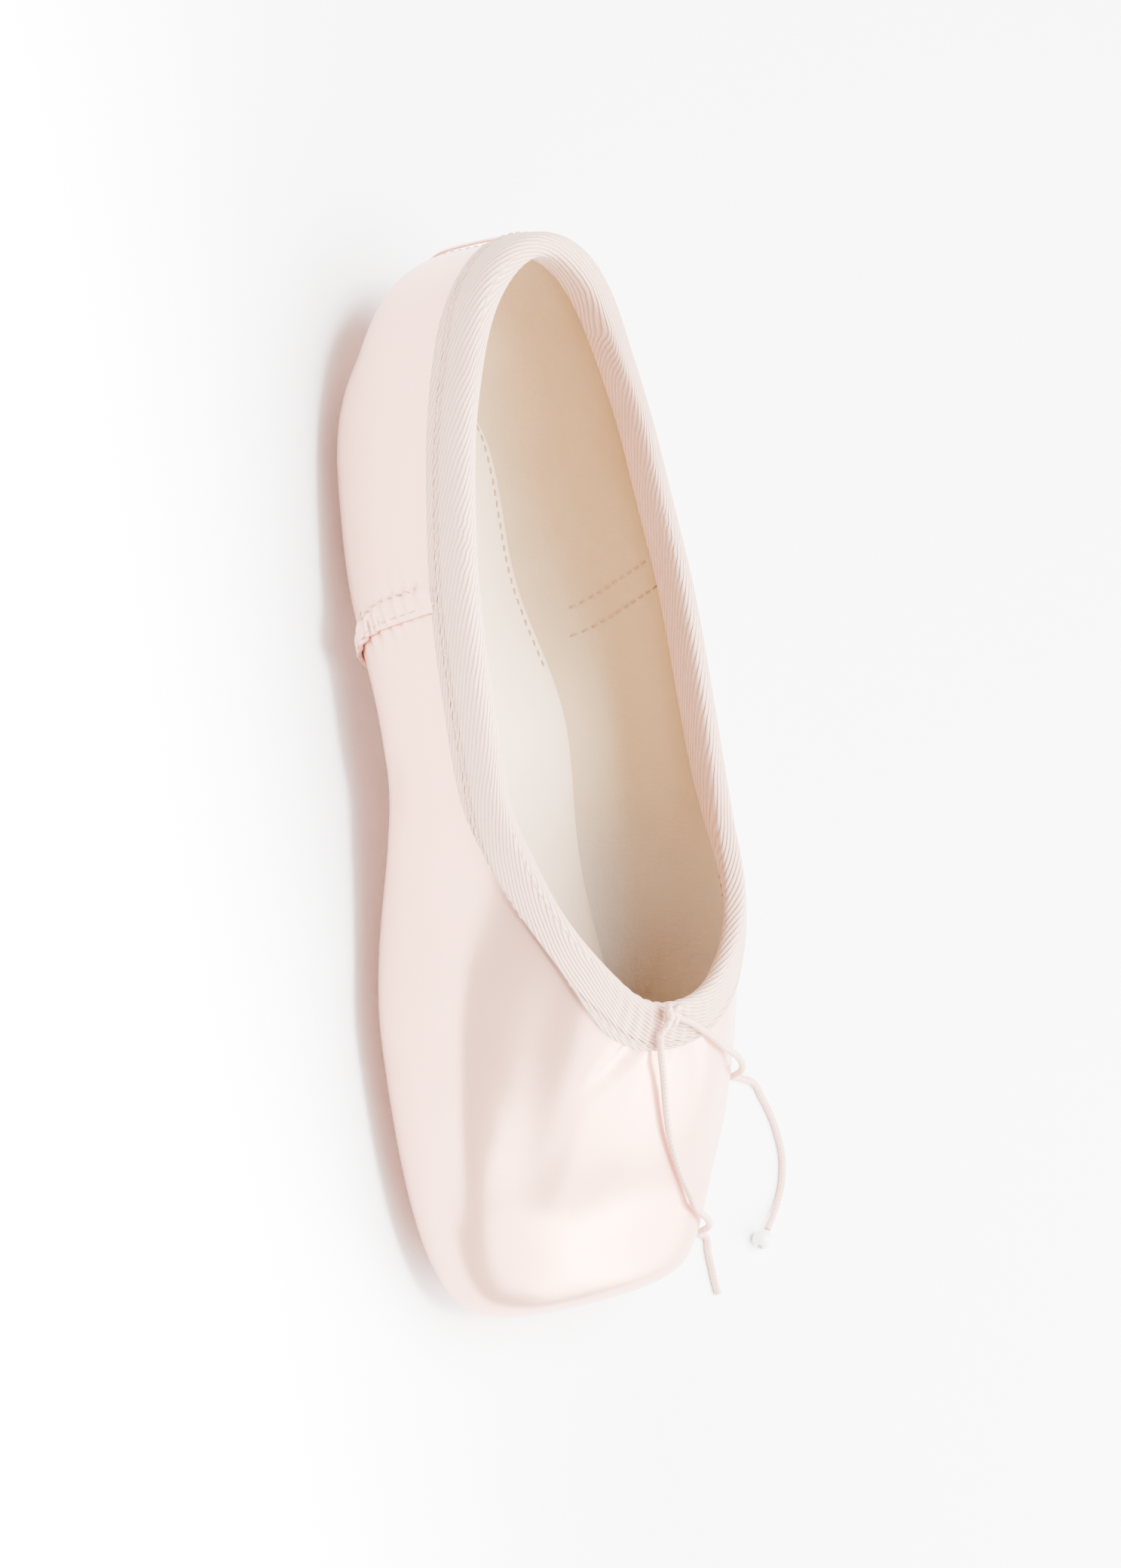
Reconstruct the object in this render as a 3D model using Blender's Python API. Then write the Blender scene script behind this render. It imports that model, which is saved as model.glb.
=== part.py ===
"""Pointe shoe, built in Blender 4.5: metres, +Z up, toe towards -Y, standing on its sole.

The satin upper, its binding, seams and panels are all read from one closed last: a row of
cross-sections between heel and platform. Each section is a superellipse above its widest line, and a
flatter one with a level middle below it. The last closes over the foot, and the collar cuts it open.
The origin is on the floor under the middle of the shoe, and the shoe is the same on both sides of X = 0.
"""
from collections import namedtuple

import bmesh
import bpy
import numpy as np
from mathutils import Vector

# Driving sizes of the shoe, in metres
SHOE_LENGTH = 0.2382
BALL_WIDTH = 0.0876
HEEL_HEIGHT = 0.0573
LAST_HEIGHT = 0.095
ARCH_RISE = 0.009
TOE_SPRING = 0.0028

# Walls, layers and the clearance between two pieces that touch
UPPER_WALL = 0.0020
SOLE_THICKNESS = 0.0030
INSOLE_THICKNESS = 0.0015
TAPE_THICKNESS = 0.0009
PANEL_THICKNESS = 0.0008
GAP = 0.0003
TAPE_GAP = 0.0005

# Roundings of the last at its two ends, and how square each one is
HEEL_PLAN_ROUND = 0.043
HEEL_UNDER_ROUND = 0.042
HEEL_BACK_ROUND = 0.024
HEEL_POWER = 2.1
HEEL_SIDE_POWER = 2.0
PLATFORM_PLAN_ROUND = 0.012
PLATFORM_EDGE_ROUND = 0.007
PLATFORM_POWER = 4.0
UNDER_POWER = 2.5

# The level middle of the underside starts this far from heel and platform
FLAT_FROM_HEEL = 0.022
FLAT_HEEL_ROUND = 0.020
FLAT_FROM_PLATFORM = 0.004
FLAT_PLATFORM_ROUND = 0.016
LOWEST_RING = 0.0025

# Outsole, insole and the opening that the outsole closes
SOLE_FROM_HEEL = 0.042
SOLE_FROM_TOE = 0.027
SOLE_HEEL_ROUND = 0.018
SOLE_TOE_ROUND = 0.030
SOLE_POWER = 2.2
SOLE_EDGE_BEVEL = 0.0006
FEATHER_MARGIN = 0.0045
INSOLE_FROM_HEEL = 0.0235
INSOLE_FROM_TOE = 0.016
INSOLE_HEEL_ROUND = 0.022
INSOLE_TOE_ROUND = 0.020
INSOLE_TIP = 0.002
INSOLE_CLEARANCE = 0.0005
INSOLE_LIFT = 0.0008

# Binding, seams and the panel under the toe
BINDING_DEPTH = 0.0100
BINDING_TURN = 0.0085
SEAM_WIDTH = 0.0090
SEAM_TOP = 0.320
SEAM_FOOT = 0.365
SEAM_LOWEST_ANGLE = -1.20
SEAM_FOLD = 0.55
SEAM_FOLD_RISE = 1.15
PIPING_WIDTH = 0.0026
PIPING_HEIGHT = 0.0013
PIPING_CREST = 0.8
PIPING_SHOULDER = 0.7
PIPING_FROM_SOLE = 0.001
PATCH_NARROW = 0.0100
PATCH_WIDE = 0.0215
PATCH_FROM_PLATFORM = 0.0045
PATCH_FLARE = 1.6
PATCH_GAP = 0.00045

# Drawstring: the elastic cord, its knot and bead
CORD_DIAMETER = 0.0016
CORD_STEP = 0.0041
KNOT_LENGTH = 0.0062
KNOT_WIDTH = 0.0050
KNOT_HEIGHT = 0.0036
KNOT_ASIDE = -0.0045
KNOT_FROM_EDGE = 0.0004
BEAD_DIAMETER = 0.0050
BEAD_PLACE = (0.0737, -0.1189, 0.0026)

# How finely the faceted solids follow the last
REAR_COLUMNS = 17
FRONT_COLUMNS = 19
SOLE_ROWS = 36
SEAM_ROWS = 15
PIPING_ROWS = 22
PATCH_ROWS = 10
PATCH_COLUMNS = 13
PLAN_SAMPLES = 400
LINE_SAMPLES = 160
ROUTE_SAMPLES = 12
TURN_WEIGHT = 0.012
END_CROWDING = 0.85
END_TRIM = 0.01
# Stations between which a slice's end is searched for, at the heel and at the toe, and how often
END_SEARCH = ((-0.02, 0.18), (1.02, 0.62))
SEARCH_STEPS = 40
SMOOTH_ANGLE = 0.9

# Sections of the last. station: share of the length from the heel. width and flat: half width at the
# widest line and of the level underside, shares of half the ball width. girth: height of the widest
# line and top: height of the closed last, shares of the last's height. fullness: the upper curve's power.
Section = namedtuple("Section", "station width girth top flat fullness")
SECTIONS = [
    Section(0.000, 0.629, 0.265, 0.987, 0.30, 1.92),
    Section(0.100, 0.637, 0.262, 0.984, 0.38, 1.85),
    Section(0.220, 0.726, 0.257, 0.997, 0.42, 2.17),
    Section(0.360, 0.823, 0.252, 0.970, 0.34, 2.31),
    Section(0.500, 0.842, 0.240, 0.883, 0.34, 2.50),
    Section(0.570, 0.875, 0.230, 0.760, 0.45, 2.35),
    Section(0.630, 0.923, 0.219, 0.709, 0.56, 2.38),
    Section(0.715, 1.000, 0.205, 0.652, 0.63, 2.20),
    Section(0.780, 1.000, 0.194, 0.577, 0.62, 2.27),
    Section(0.850, 0.980, 0.184, 0.474, 0.60, 2.30),
    Section(0.920, 0.920, 0.175, 0.357, 0.55, 2.20),
    Section(1.000, 0.728, 0.162, 0.301, 0.47, 2.36),
]

# Collar line. height: share of the heel height
CollarPoint = namedtuple("CollarPoint", "station height")
COLLAR = [
    CollarPoint(0.00, 1.000),
    CollarPoint(0.12, 0.927),
    CollarPoint(0.30, 0.896),
    CollarPoint(0.50, 0.900),
    CollarPoint(0.70, 1.060),
    CollarPoint(1.00, 1.035),
]

# Outsole outline. width: share of half the ball width
SolePoint = namedtuple("SolePoint", "station width")
SOLE = [
    SolePoint(0.17, 0.40),
    SolePoint(0.27, 0.435),
    SolePoint(0.38, 0.335),
    SolePoint(0.46, 0.305),
    SolePoint(0.56, 0.40),
    SolePoint(0.70, 0.60),
    SolePoint(0.78, 0.62),
    SolePoint(0.90, 0.56),
]

# Routes of the two cord ends from the knot, in metres: over the vamp, off its side and along the floor
SHORT_END = (
    (-0.0069, -0.0602, 0.0616), (-0.0061, -0.0622, 0.0604), (-0.0049, -0.0648, 0.0588),
    (-0.0023, -0.0692, 0.0558), (-0.0001, -0.0736, 0.0531), (0.0022, -0.0781, 0.0503),
    (0.0055, -0.0835, 0.0468), (0.0095, -0.0883, 0.0433), (0.0147, -0.0934, 0.0389),
    (0.0193, -0.0975, 0.0355), (0.0222, -0.1004, 0.0335), (0.0247, -0.1032, 0.0318),
    (0.0310, -0.1065, 0.0283), (0.0360, -0.1091, 0.0236), (0.0379, -0.1107, 0.0182),
    (0.0385, -0.1116, 0.0120), (0.0401, -0.1121, 0.0062), (0.0435, -0.1122, 0.0024),
    (0.0479, -0.1122, 0.0010), (0.0562, -0.1146, 0.0009), (0.0566, -0.1186, 0.0009),
    (0.0569, -0.1220, 0.0009), (0.0572, -0.1255, 0.0009), (0.0577, -0.1290, 0.0009),
)
LONG_END = (
    (-0.0016, -0.0573, 0.0628), (0.0012, -0.0583, 0.0622), (0.0043, -0.0597, 0.0614),
    (0.0077, -0.0615, 0.0603), (0.0122, -0.0636, 0.0585), (0.0172, -0.0661, 0.0559),
    (0.0268, -0.0695, 0.0502), (0.0338, -0.0723, 0.0445), (0.0397, -0.0745, 0.0375),
    (0.0437, -0.0761, 0.0295), (0.0453, -0.0771, 0.0210), (0.0458, -0.0777, 0.0130),
    (0.0475, -0.0781, 0.0066), (0.0515, -0.0783, 0.0024), (0.0573, -0.0783, 0.0010),
    (0.0643, -0.0782, 0.0009), (0.0718, -0.0788, 0.0009), (0.0802, -0.0816, 0.0009),
    (0.0827, -0.0859, 0.0009), (0.0847, -0.0903, 0.0009), (0.0860, -0.0952, 0.0009),
    (0.0865, -0.1003, 0.0009), (0.0856, -0.1051, 0.0009), (0.0836, -0.1096, 0.0009),
    (0.0797, -0.1141, 0.0015), (0.0761, -0.1170, 0.0022),
)

# Stations where the underside leaves the floor: the arch between the flats, and the toe spring
ARCH_START, ARCH_END = 0.265, 0.655
SPRING_START = 0.845
# The collar turns from a side wall into the vamp's edge between these stations
VAMP_START, VAMP_FULL = 0.46, 0.715
VAMP_DROP = 0.42
# Every ring is split at the waist, so that its columns stay upright behind it
WAIST = 0.50
# Heights of the upper's rings, as shares of the way from the lowest ring to the collar
RING_SHARES = (0.0, 0.07, 0.15, 0.25, 0.35, 0.43, 0.475, 0.505, 0.54, 0.60, 0.69, 0.79, 0.90, 1.0)
# Rows of the turned-in bottom, as shares of the way from the opening to the lowest ring
BOTTOM_SHARES = (0.0, 0.30, 0.58, 0.82)


def smooth_between(rows, column, share):
    """Read a table's column at shares of the length, on a smooth curve that doesn't overshoot."""
    stations = np.array([row.station for row in rows])
    values = np.array([getattr(row, column) for row in rows])
    steps = np.diff(stations)
    slopes = np.diff(values) / steps
    tangents = np.zeros(len(values))
    tangents[0] = slopes[0]
    tangents[-1] = slopes[-1]
    for k in range(1, len(values) - 1):
        before, after = slopes[k - 1], slopes[k]
        if before * after > 0:
            tangents[k] = 2 * before * after / (before + after)
    share = np.clip(share, stations[0], stations[-1])
    k = np.clip(np.searchsorted(stations, share, side="right") - 1, 0, len(steps) - 1)
    u = (share - stations[k]) / steps[k]
    return (
        values[k] * (1 + 2 * u) * (1 - u) ** 2
        + steps[k] * tangents[k] * u * (1 - u) ** 2
        + values[k + 1] * u ** 2 * (3 - 2 * u)
        + steps[k] * tangents[k + 1] * u ** 2 * (u - 1)
    )


def round_end(distance, radius, power):
    """Grow from 0 at an end to 1 at a radius from it, along a superellipse."""
    u = np.clip(1 - distance / radius, 0, 1)
    return (1 - u ** power) ** (1 / power)


def ease(share, start, end):
    """Rise smoothly from 0 to 1 between two stations."""
    u = np.clip((share - start) / (end - start), 0, 1)
    return u * u * (3 - 2 * u)


def floor_rise(share):
    """Height of the outsole's lower face above the floor."""
    arch = np.clip((share - ARCH_START) / (ARCH_END - ARCH_START), 0, 1)
    spring = np.clip((share - SPRING_START) / (1 - SPRING_START), 0, 1)
    return ARCH_RISE * np.sin(np.pi * arch) ** 2 + TOE_SPRING * spring ** 2


def bottom_height(share):
    """Height of the upper's underside where it is level across."""
    return SOLE_THICKNESS + GAP + floor_rise(share)


def collar_height(share):
    """Height of the upper's edge, before the vamp's own turn is taken off it."""
    return HEEL_HEIGHT * smooth_between(COLLAR, "height", share)


def last_section(share, inset):
    """Half width, level half width, heights above and below the widest line, that line and the power.

    An inset moves the surface in by that much on every side, and a negative one moves it out.
    """
    from_heel = share * SHOE_LENGTH - inset
    from_toe = (1 - share) * SHOE_LENGTH - inset
    half_ball = BALL_WIDTH / 2
    girth = LAST_HEIGHT * smooth_between(SECTIONS, "girth", share)
    top = LAST_HEIGHT * smooth_between(SECTIONS, "top", share)
    plan = round_end(from_heel, HEEL_PLAN_ROUND, HEEL_POWER) * round_end(
        from_toe, PLATFORM_PLAN_ROUND, PLATFORM_POWER)
    toe_edge = round_end(from_toe, PLATFORM_EDGE_ROUND, PLATFORM_POWER)
    flat_ends = round_end(from_heel - FLAT_FROM_HEEL, FLAT_HEEL_ROUND, SOLE_POWER) * round_end(
        from_toe - FLAT_FROM_PLATFORM, FLAT_PLATFORM_ROUND, SOLE_POWER)
    width = half_ball * smooth_between(SECTIONS, "width", share) * plan - inset
    flat = half_ball * smooth_between(SECTIONS, "flat", share) * flat_ends
    heel_back = round_end(from_heel, HEEL_BACK_ROUND, HEEL_SIDE_POWER)
    heel_under = round_end(from_heel, HEEL_UNDER_ROUND, HEEL_SIDE_POWER)
    above = (top - girth) * heel_back * toe_edge - inset
    below = (girth - bottom_height(share)) * heel_under * toe_edge - inset
    width = np.maximum(width, 0)
    return width, np.minimum(flat, width), above, below, girth, smooth_between(SECTIONS, "fullness", share)


def half_width(share, height, inset):
    """Half width of the last at a height of a section; nothing beyond its top or bottom."""
    width, flat, above, below, girth, power = last_section(share, inset)
    up = np.clip((height - girth) / np.maximum(above, 1e-7), 0, 1)
    down = np.clip((girth - height) / np.maximum(below, 1e-7), 0, 1)
    over = width * (1 - up ** power) ** (1 / power)
    under = flat + (width - flat) * (1 - down ** UNDER_POWER) ** (1 / UNDER_POWER)
    return np.where(height >= girth, over, under)


def under_height(share, across, inset):
    """Height of the underside at a distance from the middle line."""
    width, flat, above, below, girth, power = last_section(share, inset)
    out = np.clip((np.abs(across) - flat) / np.maximum(width - flat, 1e-7), 0, 1)
    return girth - below * (1 - out ** UNDER_POWER) ** (1 / UNDER_POWER)


def section_point(share, angle, inset):
    """Point of a section at an angle from its widest line: pi/2 is the top, -pi/2 the underside."""
    width, flat, above, below, girth, power = last_section(share, inset)
    if angle >= 0:
        across = width * np.cos(angle) ** (2 / power)
        height = girth + above * np.sin(angle) ** (2 / power)
    else:
        across = flat + (width - flat) * np.cos(angle) ** (2 / UNDER_POWER)
        height = girth - below * np.sin(-angle) ** (2 / UNDER_POWER)
    return float(across), float(height)


def angle_at_height(share, height, inset):
    """Angle of a section at which it reaches a height above its widest line."""
    width, flat, above, below, girth, power = last_section(share, inset)
    return float(np.arcsin(np.clip((height - girth) / above, 0, 1) ** (power / 2)))


def along(share):
    """Y of a station. The piping stands proud of the heel, so half of it moves the rest forward."""
    return (0.5 - share) * SHOE_LENGTH - PIPING_HEIGHT / 2


def station_at(y):
    """Station of a point along the shoe, the reverse of along."""
    return 0.5 - (y + PIPING_HEIGHT / 2) / SHOE_LENGTH


def even_line(line, count):
    """Points at even distances along a line."""
    run = np.concatenate([[0], np.cumsum(np.linalg.norm(np.diff(line, axis=0), axis=1))])
    places = np.linspace(0, run[-1], count + 1)
    return np.stack([np.interp(places, run, line[:, k]) for k in range(line.shape[1])], axis=1)


def spread(points, start, end, count):
    """Place count + 1 points between two indices of a line, closer where the line turns."""
    line = even_line(points[start:end + 1], LINE_SAMPLES)
    runs = np.diff(line, axis=0)
    lengths = np.linalg.norm(runs, axis=1)
    runs = runs / lengths[:, None]
    turns = np.zeros(len(lengths))
    turns[1:] = np.arccos(np.clip((runs[1:] * runs[:-1]).sum(axis=1), -1, 1))
    weights = np.concatenate([[0], np.cumsum(lengths + TURN_WEIGHT * turns)])
    places = np.linspace(0, weights[-1], count + 1)
    return np.stack([np.interp(places, weights, line[:, k]) for k in range(line.shape[1])], axis=1)


def ring_from_half(half):
    """Mirror a half line that runs from heel to toe on -X, as one closed ring of points."""
    near = [Vector((-x, y, z)) for x, y, z in half]
    far = [Vector((x, y, z)) for x, y, z in half[-2:0:-1]]
    return near + far


def slice_half(height_at, inset):
    """Half outline of the last, from heel to toe, where a height that varies along it cuts it."""
    def inside(share):
        width, flat, above, below, girth, power = last_section(share, inset)
        height = height_at(share)
        return np.where(height >= girth, above - (height - girth), below - (girth - height))

    ends = []
    for outer, inner in END_SEARCH:
        for _ in range(SEARCH_STEPS):
            middle = (outer + inner) / 2
            if inside(np.array(middle)) > 0:
                inner = middle
            else:
                outer = middle
        ends.append(inner)
    sweep = (1 - np.cos(np.linspace(0, np.pi, PLAN_SAMPLES))) / 2
    shares = ends[0] + (ends[1] - ends[0]) * sweep
    heights = height_at(shares)
    across = half_width(shares, heights, inset)
    line = np.stack([across, along(shares), heights], axis=1)
    first = line[0] * (0, 1, 1)
    last = line[-1] * (0, 1, 1)
    line = np.vstack([first, line, last])
    waist = 1 + int(np.searchsorted(shares, WAIST))
    rear = spread(line, 0, waist, REAR_COLUMNS)
    front = spread(line, waist, len(line) - 1, FRONT_COLUMNS)
    return np.vstack([rear, front[1:]])


def collar_ring(drop, inset):
    """Half ring that lies a drop below the collar edge, measured along the surface."""
    def height_at(share):
        vamp = ease(share, VAMP_START, VAMP_FULL)
        return collar_height(share) - drop * (1 - (1 - VAMP_DROP) * vamp) - inset * vamp

    return slice_half(height_at, inset)


def wall_ring(level, inset):
    """Half ring of the upper at a share of the way from the lowest ring to the collar."""
    def height_at(share):
        low = bottom_height(share) + LOWEST_RING + inset
        high = collar_height(share) - inset * ease(share, VAMP_START, VAMP_FULL)
        return low + level * (high - low)

    return slice_half(height_at, inset)


def sole_half_width(share, margin):
    """Half width of the outsole's outline, moved in by a margin."""
    from_heel = share * SHOE_LENGTH - SOLE_FROM_HEEL - margin
    from_toe = (1 - share) * SHOE_LENGTH - SOLE_FROM_TOE - margin
    ends = round_end(from_heel, SOLE_HEEL_ROUND, SOLE_POWER) * round_end(from_toe, SOLE_TOE_ROUND, SOLE_POWER)
    return np.maximum((BALL_WIDTH / 2 * smooth_between(SOLE, "width", share) - margin) * ends, 0)


def opening_half():
    """Half outline of the opening under the upper, a margin inside the outsole's."""
    start = (SOLE_FROM_HEEL + FEATHER_MARGIN) / SHOE_LENGTH
    end = 1 - (SOLE_FROM_TOE + FEATHER_MARGIN) / SHOE_LENGTH
    shares = start + (end - start) * (1 - np.cos(np.linspace(0, np.pi, PLAN_SAMPLES))) / 2
    line = np.stack([sole_half_width(shares, FEATHER_MARGIN), along(shares), 0 * shares], axis=1)
    waist = int(np.searchsorted(shares, WAIST))
    rear = spread(line, 0, waist, REAR_COLUMNS)
    front = spread(line, waist, len(line) - 1, FRONT_COLUMNS)
    return np.vstack([rear, front[1:]])


def material(name, colour, roughness):
    """Plain material in the piece's colour; nothing on the shoe is metal."""
    made = bpy.data.materials.new(name)
    made.use_nodes = True
    shader = made.node_tree.nodes["Principled BSDF"]
    shader.inputs["Base Color"].default_value = (*colour, 1)
    shader.inputs["Roughness"].default_value = roughness
    shader.inputs["Metallic"].default_value = 0
    return made


def add_object(name, mesh, finish):
    """Place a mesh or a curve in the scene at the origin, with its material."""
    mesh.materials.append(finish)
    piece = bpy.data.objects.new(name, mesh)
    bpy.context.scene.collection.objects.link(piece)
    return piece


def finish_mesh(name, shape, finish):
    """Turn a bmesh into a named object with its faces pointing out."""
    shape.normal_update()
    bmesh.ops.recalc_face_normals(shape, faces=shape.faces)
    mesh = bpy.data.meshes.new(name)
    shape.to_mesh(mesh)
    shape.free()
    mesh.shade_smooth()
    mesh.set_sharp_from_angle(angle=SMOOTH_ANGLE)
    return add_object(name, mesh, finish)


def loft(name, rings, finish, closed=False):
    """Skin a row of rings of points; the last ring meets the first when closed, or both are capped."""
    shape = bmesh.new()
    rows = [[shape.verts.new(point) for point in ring] for ring in rings]
    pairs = list(zip(rows, rows[1:]))
    if closed:
        pairs.append((rows[-1], rows[0]))
    count = len(rows[0])
    for lower, upper in pairs:
        for k in range(count):
            after = (k + 1) % count
            shape.faces.new((lower[k], lower[after], upper[after], upper[k]))
    if not closed:
        shape.faces.new(rows[0])
        shape.faces.new(rows[-1])
    return finish_mesh(name, shape, finish)


def build_upper(finish):
    """One wall: the opening's edge, up the outside to the collar, and down the inside again."""
    opening = opening_half()

    def turned_in(inset):
        lowest = wall_ring(0.0, inset)
        rows = []
        for share in BOTTOM_SHARES:
            plan = opening + share * (lowest - opening)
            plan[:, 2] = under_height(station_at(plan[:, 1]), plan[:, 0], inset)
            rows.append(plan)
        return rows

    def side(inset):
        halves = turned_in(inset) + [wall_ring(level, inset) for level in RING_SHARES]
        return [ring_from_half(half) for half in halves]

    return loft("upper", side(0.0) + side(UPPER_WALL)[::-1], finish, closed=True)


def build_binding(finish):
    """Tape folded over the collar edge, a gap off both faces of the wall."""
    reach = TAPE_GAP + TAPE_THICKNESS
    inner = UPPER_WALL + TAPE_GAP
    profile = [
        (BINDING_DEPTH, -0.85 * reach),
        (0.85 * BINDING_DEPTH, -reach),
        (0.40 * BINDING_DEPTH, -reach),
        (0.50 * TAPE_THICKNESS, -reach),
        (-0.75 * reach, -0.45 * reach),
        (-reach, 0.50 * UPPER_WALL),
        (-0.75 * reach, UPPER_WALL + 0.45 * reach),
        (0.50 * TAPE_THICKNESS, inner + TAPE_THICKNESS),
        (0.50 * BINDING_TURN, inner + TAPE_THICKNESS),
        (BINDING_TURN, inner + TAPE_THICKNESS),
        (BINDING_TURN, inner),
        (0.40 * BINDING_TURN, inner),
        (-TAPE_GAP, inner),
        (-TAPE_GAP, -TAPE_GAP),
        (0.40 * BINDING_DEPTH, -TAPE_GAP),
        (BINDING_DEPTH, -TAPE_GAP),
    ]
    rings = [ring_from_half(collar_ring(drop, inset)) for drop, inset in profile]
    return loft("collar_binding", rings, finish, closed=True)


def closer_at_ends(start, end, count):
    """Stations from start to end, evenly spaced in the middle and closer towards both ends."""
    u = np.linspace(END_TRIM, 1 - END_TRIM, count)
    return start + (end - start) * (u - END_CROWDING * np.sin(2 * np.pi * u) / (2 * np.pi))


def slab_ring(half, y, low, high, bevel):
    """Section of a flat layer: level faces and a bevelled edge on each side."""
    edge = min(bevel, half * 0.4)
    right = [(0.5 * half, low), (half - edge, low), (half, low + edge), (half, high - edge), (half - edge, high)]
    outline = right + [(0.5 * half, high)]
    outline += [(-x, z) for x, z in reversed(outline)]
    return [Vector((x, y, z)) for x, z in outline]


def build_outsole(finish):
    """Leather sole of one thickness, level across, that follows the arch and the toe spring."""
    start = SOLE_FROM_HEEL / SHOE_LENGTH
    end = 1 - SOLE_FROM_TOE / SHOE_LENGTH
    rings = []
    for share in closer_at_ends(start, end, SOLE_ROWS):
        low = float(floor_rise(share))
        half = float(sole_half_width(share, 0.0))
        rings.append(slab_ring(half, along(share), low, low + SOLE_THICKNESS, SOLE_EDGE_BEVEL))
    return loft("outsole", rings, finish)


def build_insole(finish):
    """Sock that lies inside on the turned-in bottom of the upper."""
    start = INSOLE_FROM_HEEL / SHOE_LENGTH
    end = 1 - INSOLE_FROM_TOE / SHOE_LENGTH
    rings = []
    for share in closer_at_ends(start, end, SOLE_ROWS):
        low = float(under_height(share, 0.0, UPPER_WALL)) + INSOLE_LIFT
        room = float(half_width(share, low - GAP, UPPER_WALL)) - INSOLE_CLEARANCE
        from_heel = share * SHOE_LENGTH - INSOLE_FROM_HEEL
        from_toe = (1 - share) * SHOE_LENGTH - INSOLE_FROM_TOE
        ends = round_end(from_heel, INSOLE_HEEL_ROUND, SOLE_POWER) * round_end(
            from_toe, INSOLE_TOE_ROUND, SOLE_POWER)
        half = max(room * float(ends), INSOLE_TIP)
        rings.append(slab_ring(half, along(share), low, low + INSOLE_THICKNESS, SOLE_EDGE_BEVEL))
    return loft("insole", rings, finish)


def build_side_seam(name, side, finish):
    """Folded band on the outside of the upper, from the binding to the outsole's edge."""
    base = -GAP
    top = -GAP - PANEL_THICKNESS
    half = SEAM_WIDTH / 2 / SHOE_LENGTH
    rings = []
    corners = ((-half, base), (0, base), (half, base), (half, top),
               (SEAM_FOLD * half, top * SEAM_FOLD_RISE), (-half, top))
    for step in np.linspace(0, 1, SEAM_ROWS):
        middle = SEAM_TOP + (SEAM_FOOT - SEAM_TOP) * step
        ring = []
        for offset, inset in corners:
            share = np.array(middle + offset)
            collar = collar_height(share) - BINDING_DEPTH - GAP
            highest = angle_at_height(share, collar, inset)
            angle = highest + (SEAM_LOWEST_ANGLE - highest) * step
            across, height = section_point(share, angle, inset)
            ring.append(Vector((side * across, along(middle + offset), height)))
        rings.append(ring)
    return loft(name, rings, finish)


def heel_profile(inset):
    """Centre line of the heel's back, from the binding down and round to the outsole, as (y, z)."""
    low_end = (SOLE_FROM_HEEL - PIPING_FROM_SOLE) / SHOE_LENGTH
    down = np.linspace(0, 1, PLAN_SAMPLES)
    top_share = (HEEL_BACK_ROUND * (1 - down) ** 3 - inset) / SHOE_LENGTH
    section = last_section(top_share, inset)
    upper = np.stack([along(top_share), section[4] + np.maximum(section[2], 0)], axis=1)
    low_share = inset / SHOE_LENGTH + (low_end - inset / SHOE_LENGTH) * down ** 3
    section = last_section(low_share, inset)
    lower = np.stack([along(low_share), section[4] - np.maximum(section[3], 0)], axis=1)
    line = np.vstack([upper, lower[1:]])
    highest = HEEL_HEIGHT - BINDING_DEPTH - GAP
    return line[line[:, 1] <= highest]


def build_back_seam(finish):
    """Piped ridge down the middle of the heel."""
    line = heel_profile(0.0)
    line = spread(line, 0, len(line) - 1, PIPING_ROWS)
    directions = np.gradient(line, axis=0)
    directions /= np.linalg.norm(directions, axis=1)[:, None]
    half = PIPING_WIDTH / 2
    side, shoulder = PIPING_CREST * half, PIPING_SHOULDER * PIPING_HEIGHT
    profile = ((-half, GAP), (half, GAP), (side, shoulder), (0, PIPING_HEIGHT), (-side, shoulder))
    rings = []
    for (y, z), (run_y, run_z) in zip(line, directions):
        out = Vector((0, -run_z, run_y))
        rings.append([Vector((x, y, z)) + out * height for x, height in profile])
    return loft("back_seam", rings, finish)


def build_toe_patch(finish):
    """Panel under the box that widens from the outsole's end to the platform's lower edge."""
    start = 1 - (SOLE_FROM_TOE - 2 * GAP) / SHOE_LENGTH
    end = 1 - PATCH_FROM_PLATFORM / SHOE_LENGTH
    rings = []
    for step in np.linspace(0, 1, PATCH_ROWS):
        share = np.array(start + (end - start) * step)
        half = PATCH_NARROW + (PATCH_WIDE - PATCH_NARROW) * step ** PATCH_FLARE
        columns = half * np.sin(np.linspace(-np.pi / 2, np.pi / 2, PATCH_COLUMNS))
        base, face = [
            [Vector((x, along(share), under_height(share, x, inset))) for x in columns]
            for inset in (-PATCH_GAP, -PATCH_GAP - PANEL_THICKNESS)
        ]
        rings.append(base + face[::-1])
    return loft("toe_patch", rings, finish)


def knot_place():
    """Middle of the knot, on the binding beside the throat's middle, and the slope that it lies on."""
    seat = -TAPE_GAP - TAPE_THICKNESS
    edge, ahead = [
        Vector((KNOT_ASIDE, *[np.interp(-KNOT_ASIDE, throat[:, 0], throat[:, axis]) for axis in (1, 2)]))
        for throat in (collar_ring(KNOT_FROM_EDGE + step, seat)[:-FRONT_COLUMNS // 2:-1]
                       for step in (0, KNOT_HEIGHT / 2))]
    run = (ahead - edge).normalized()
    out = Vector((0, run.z, -run.y))
    return edge + out * (GAP + KNOT_HEIGHT / 2), run, out


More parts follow.
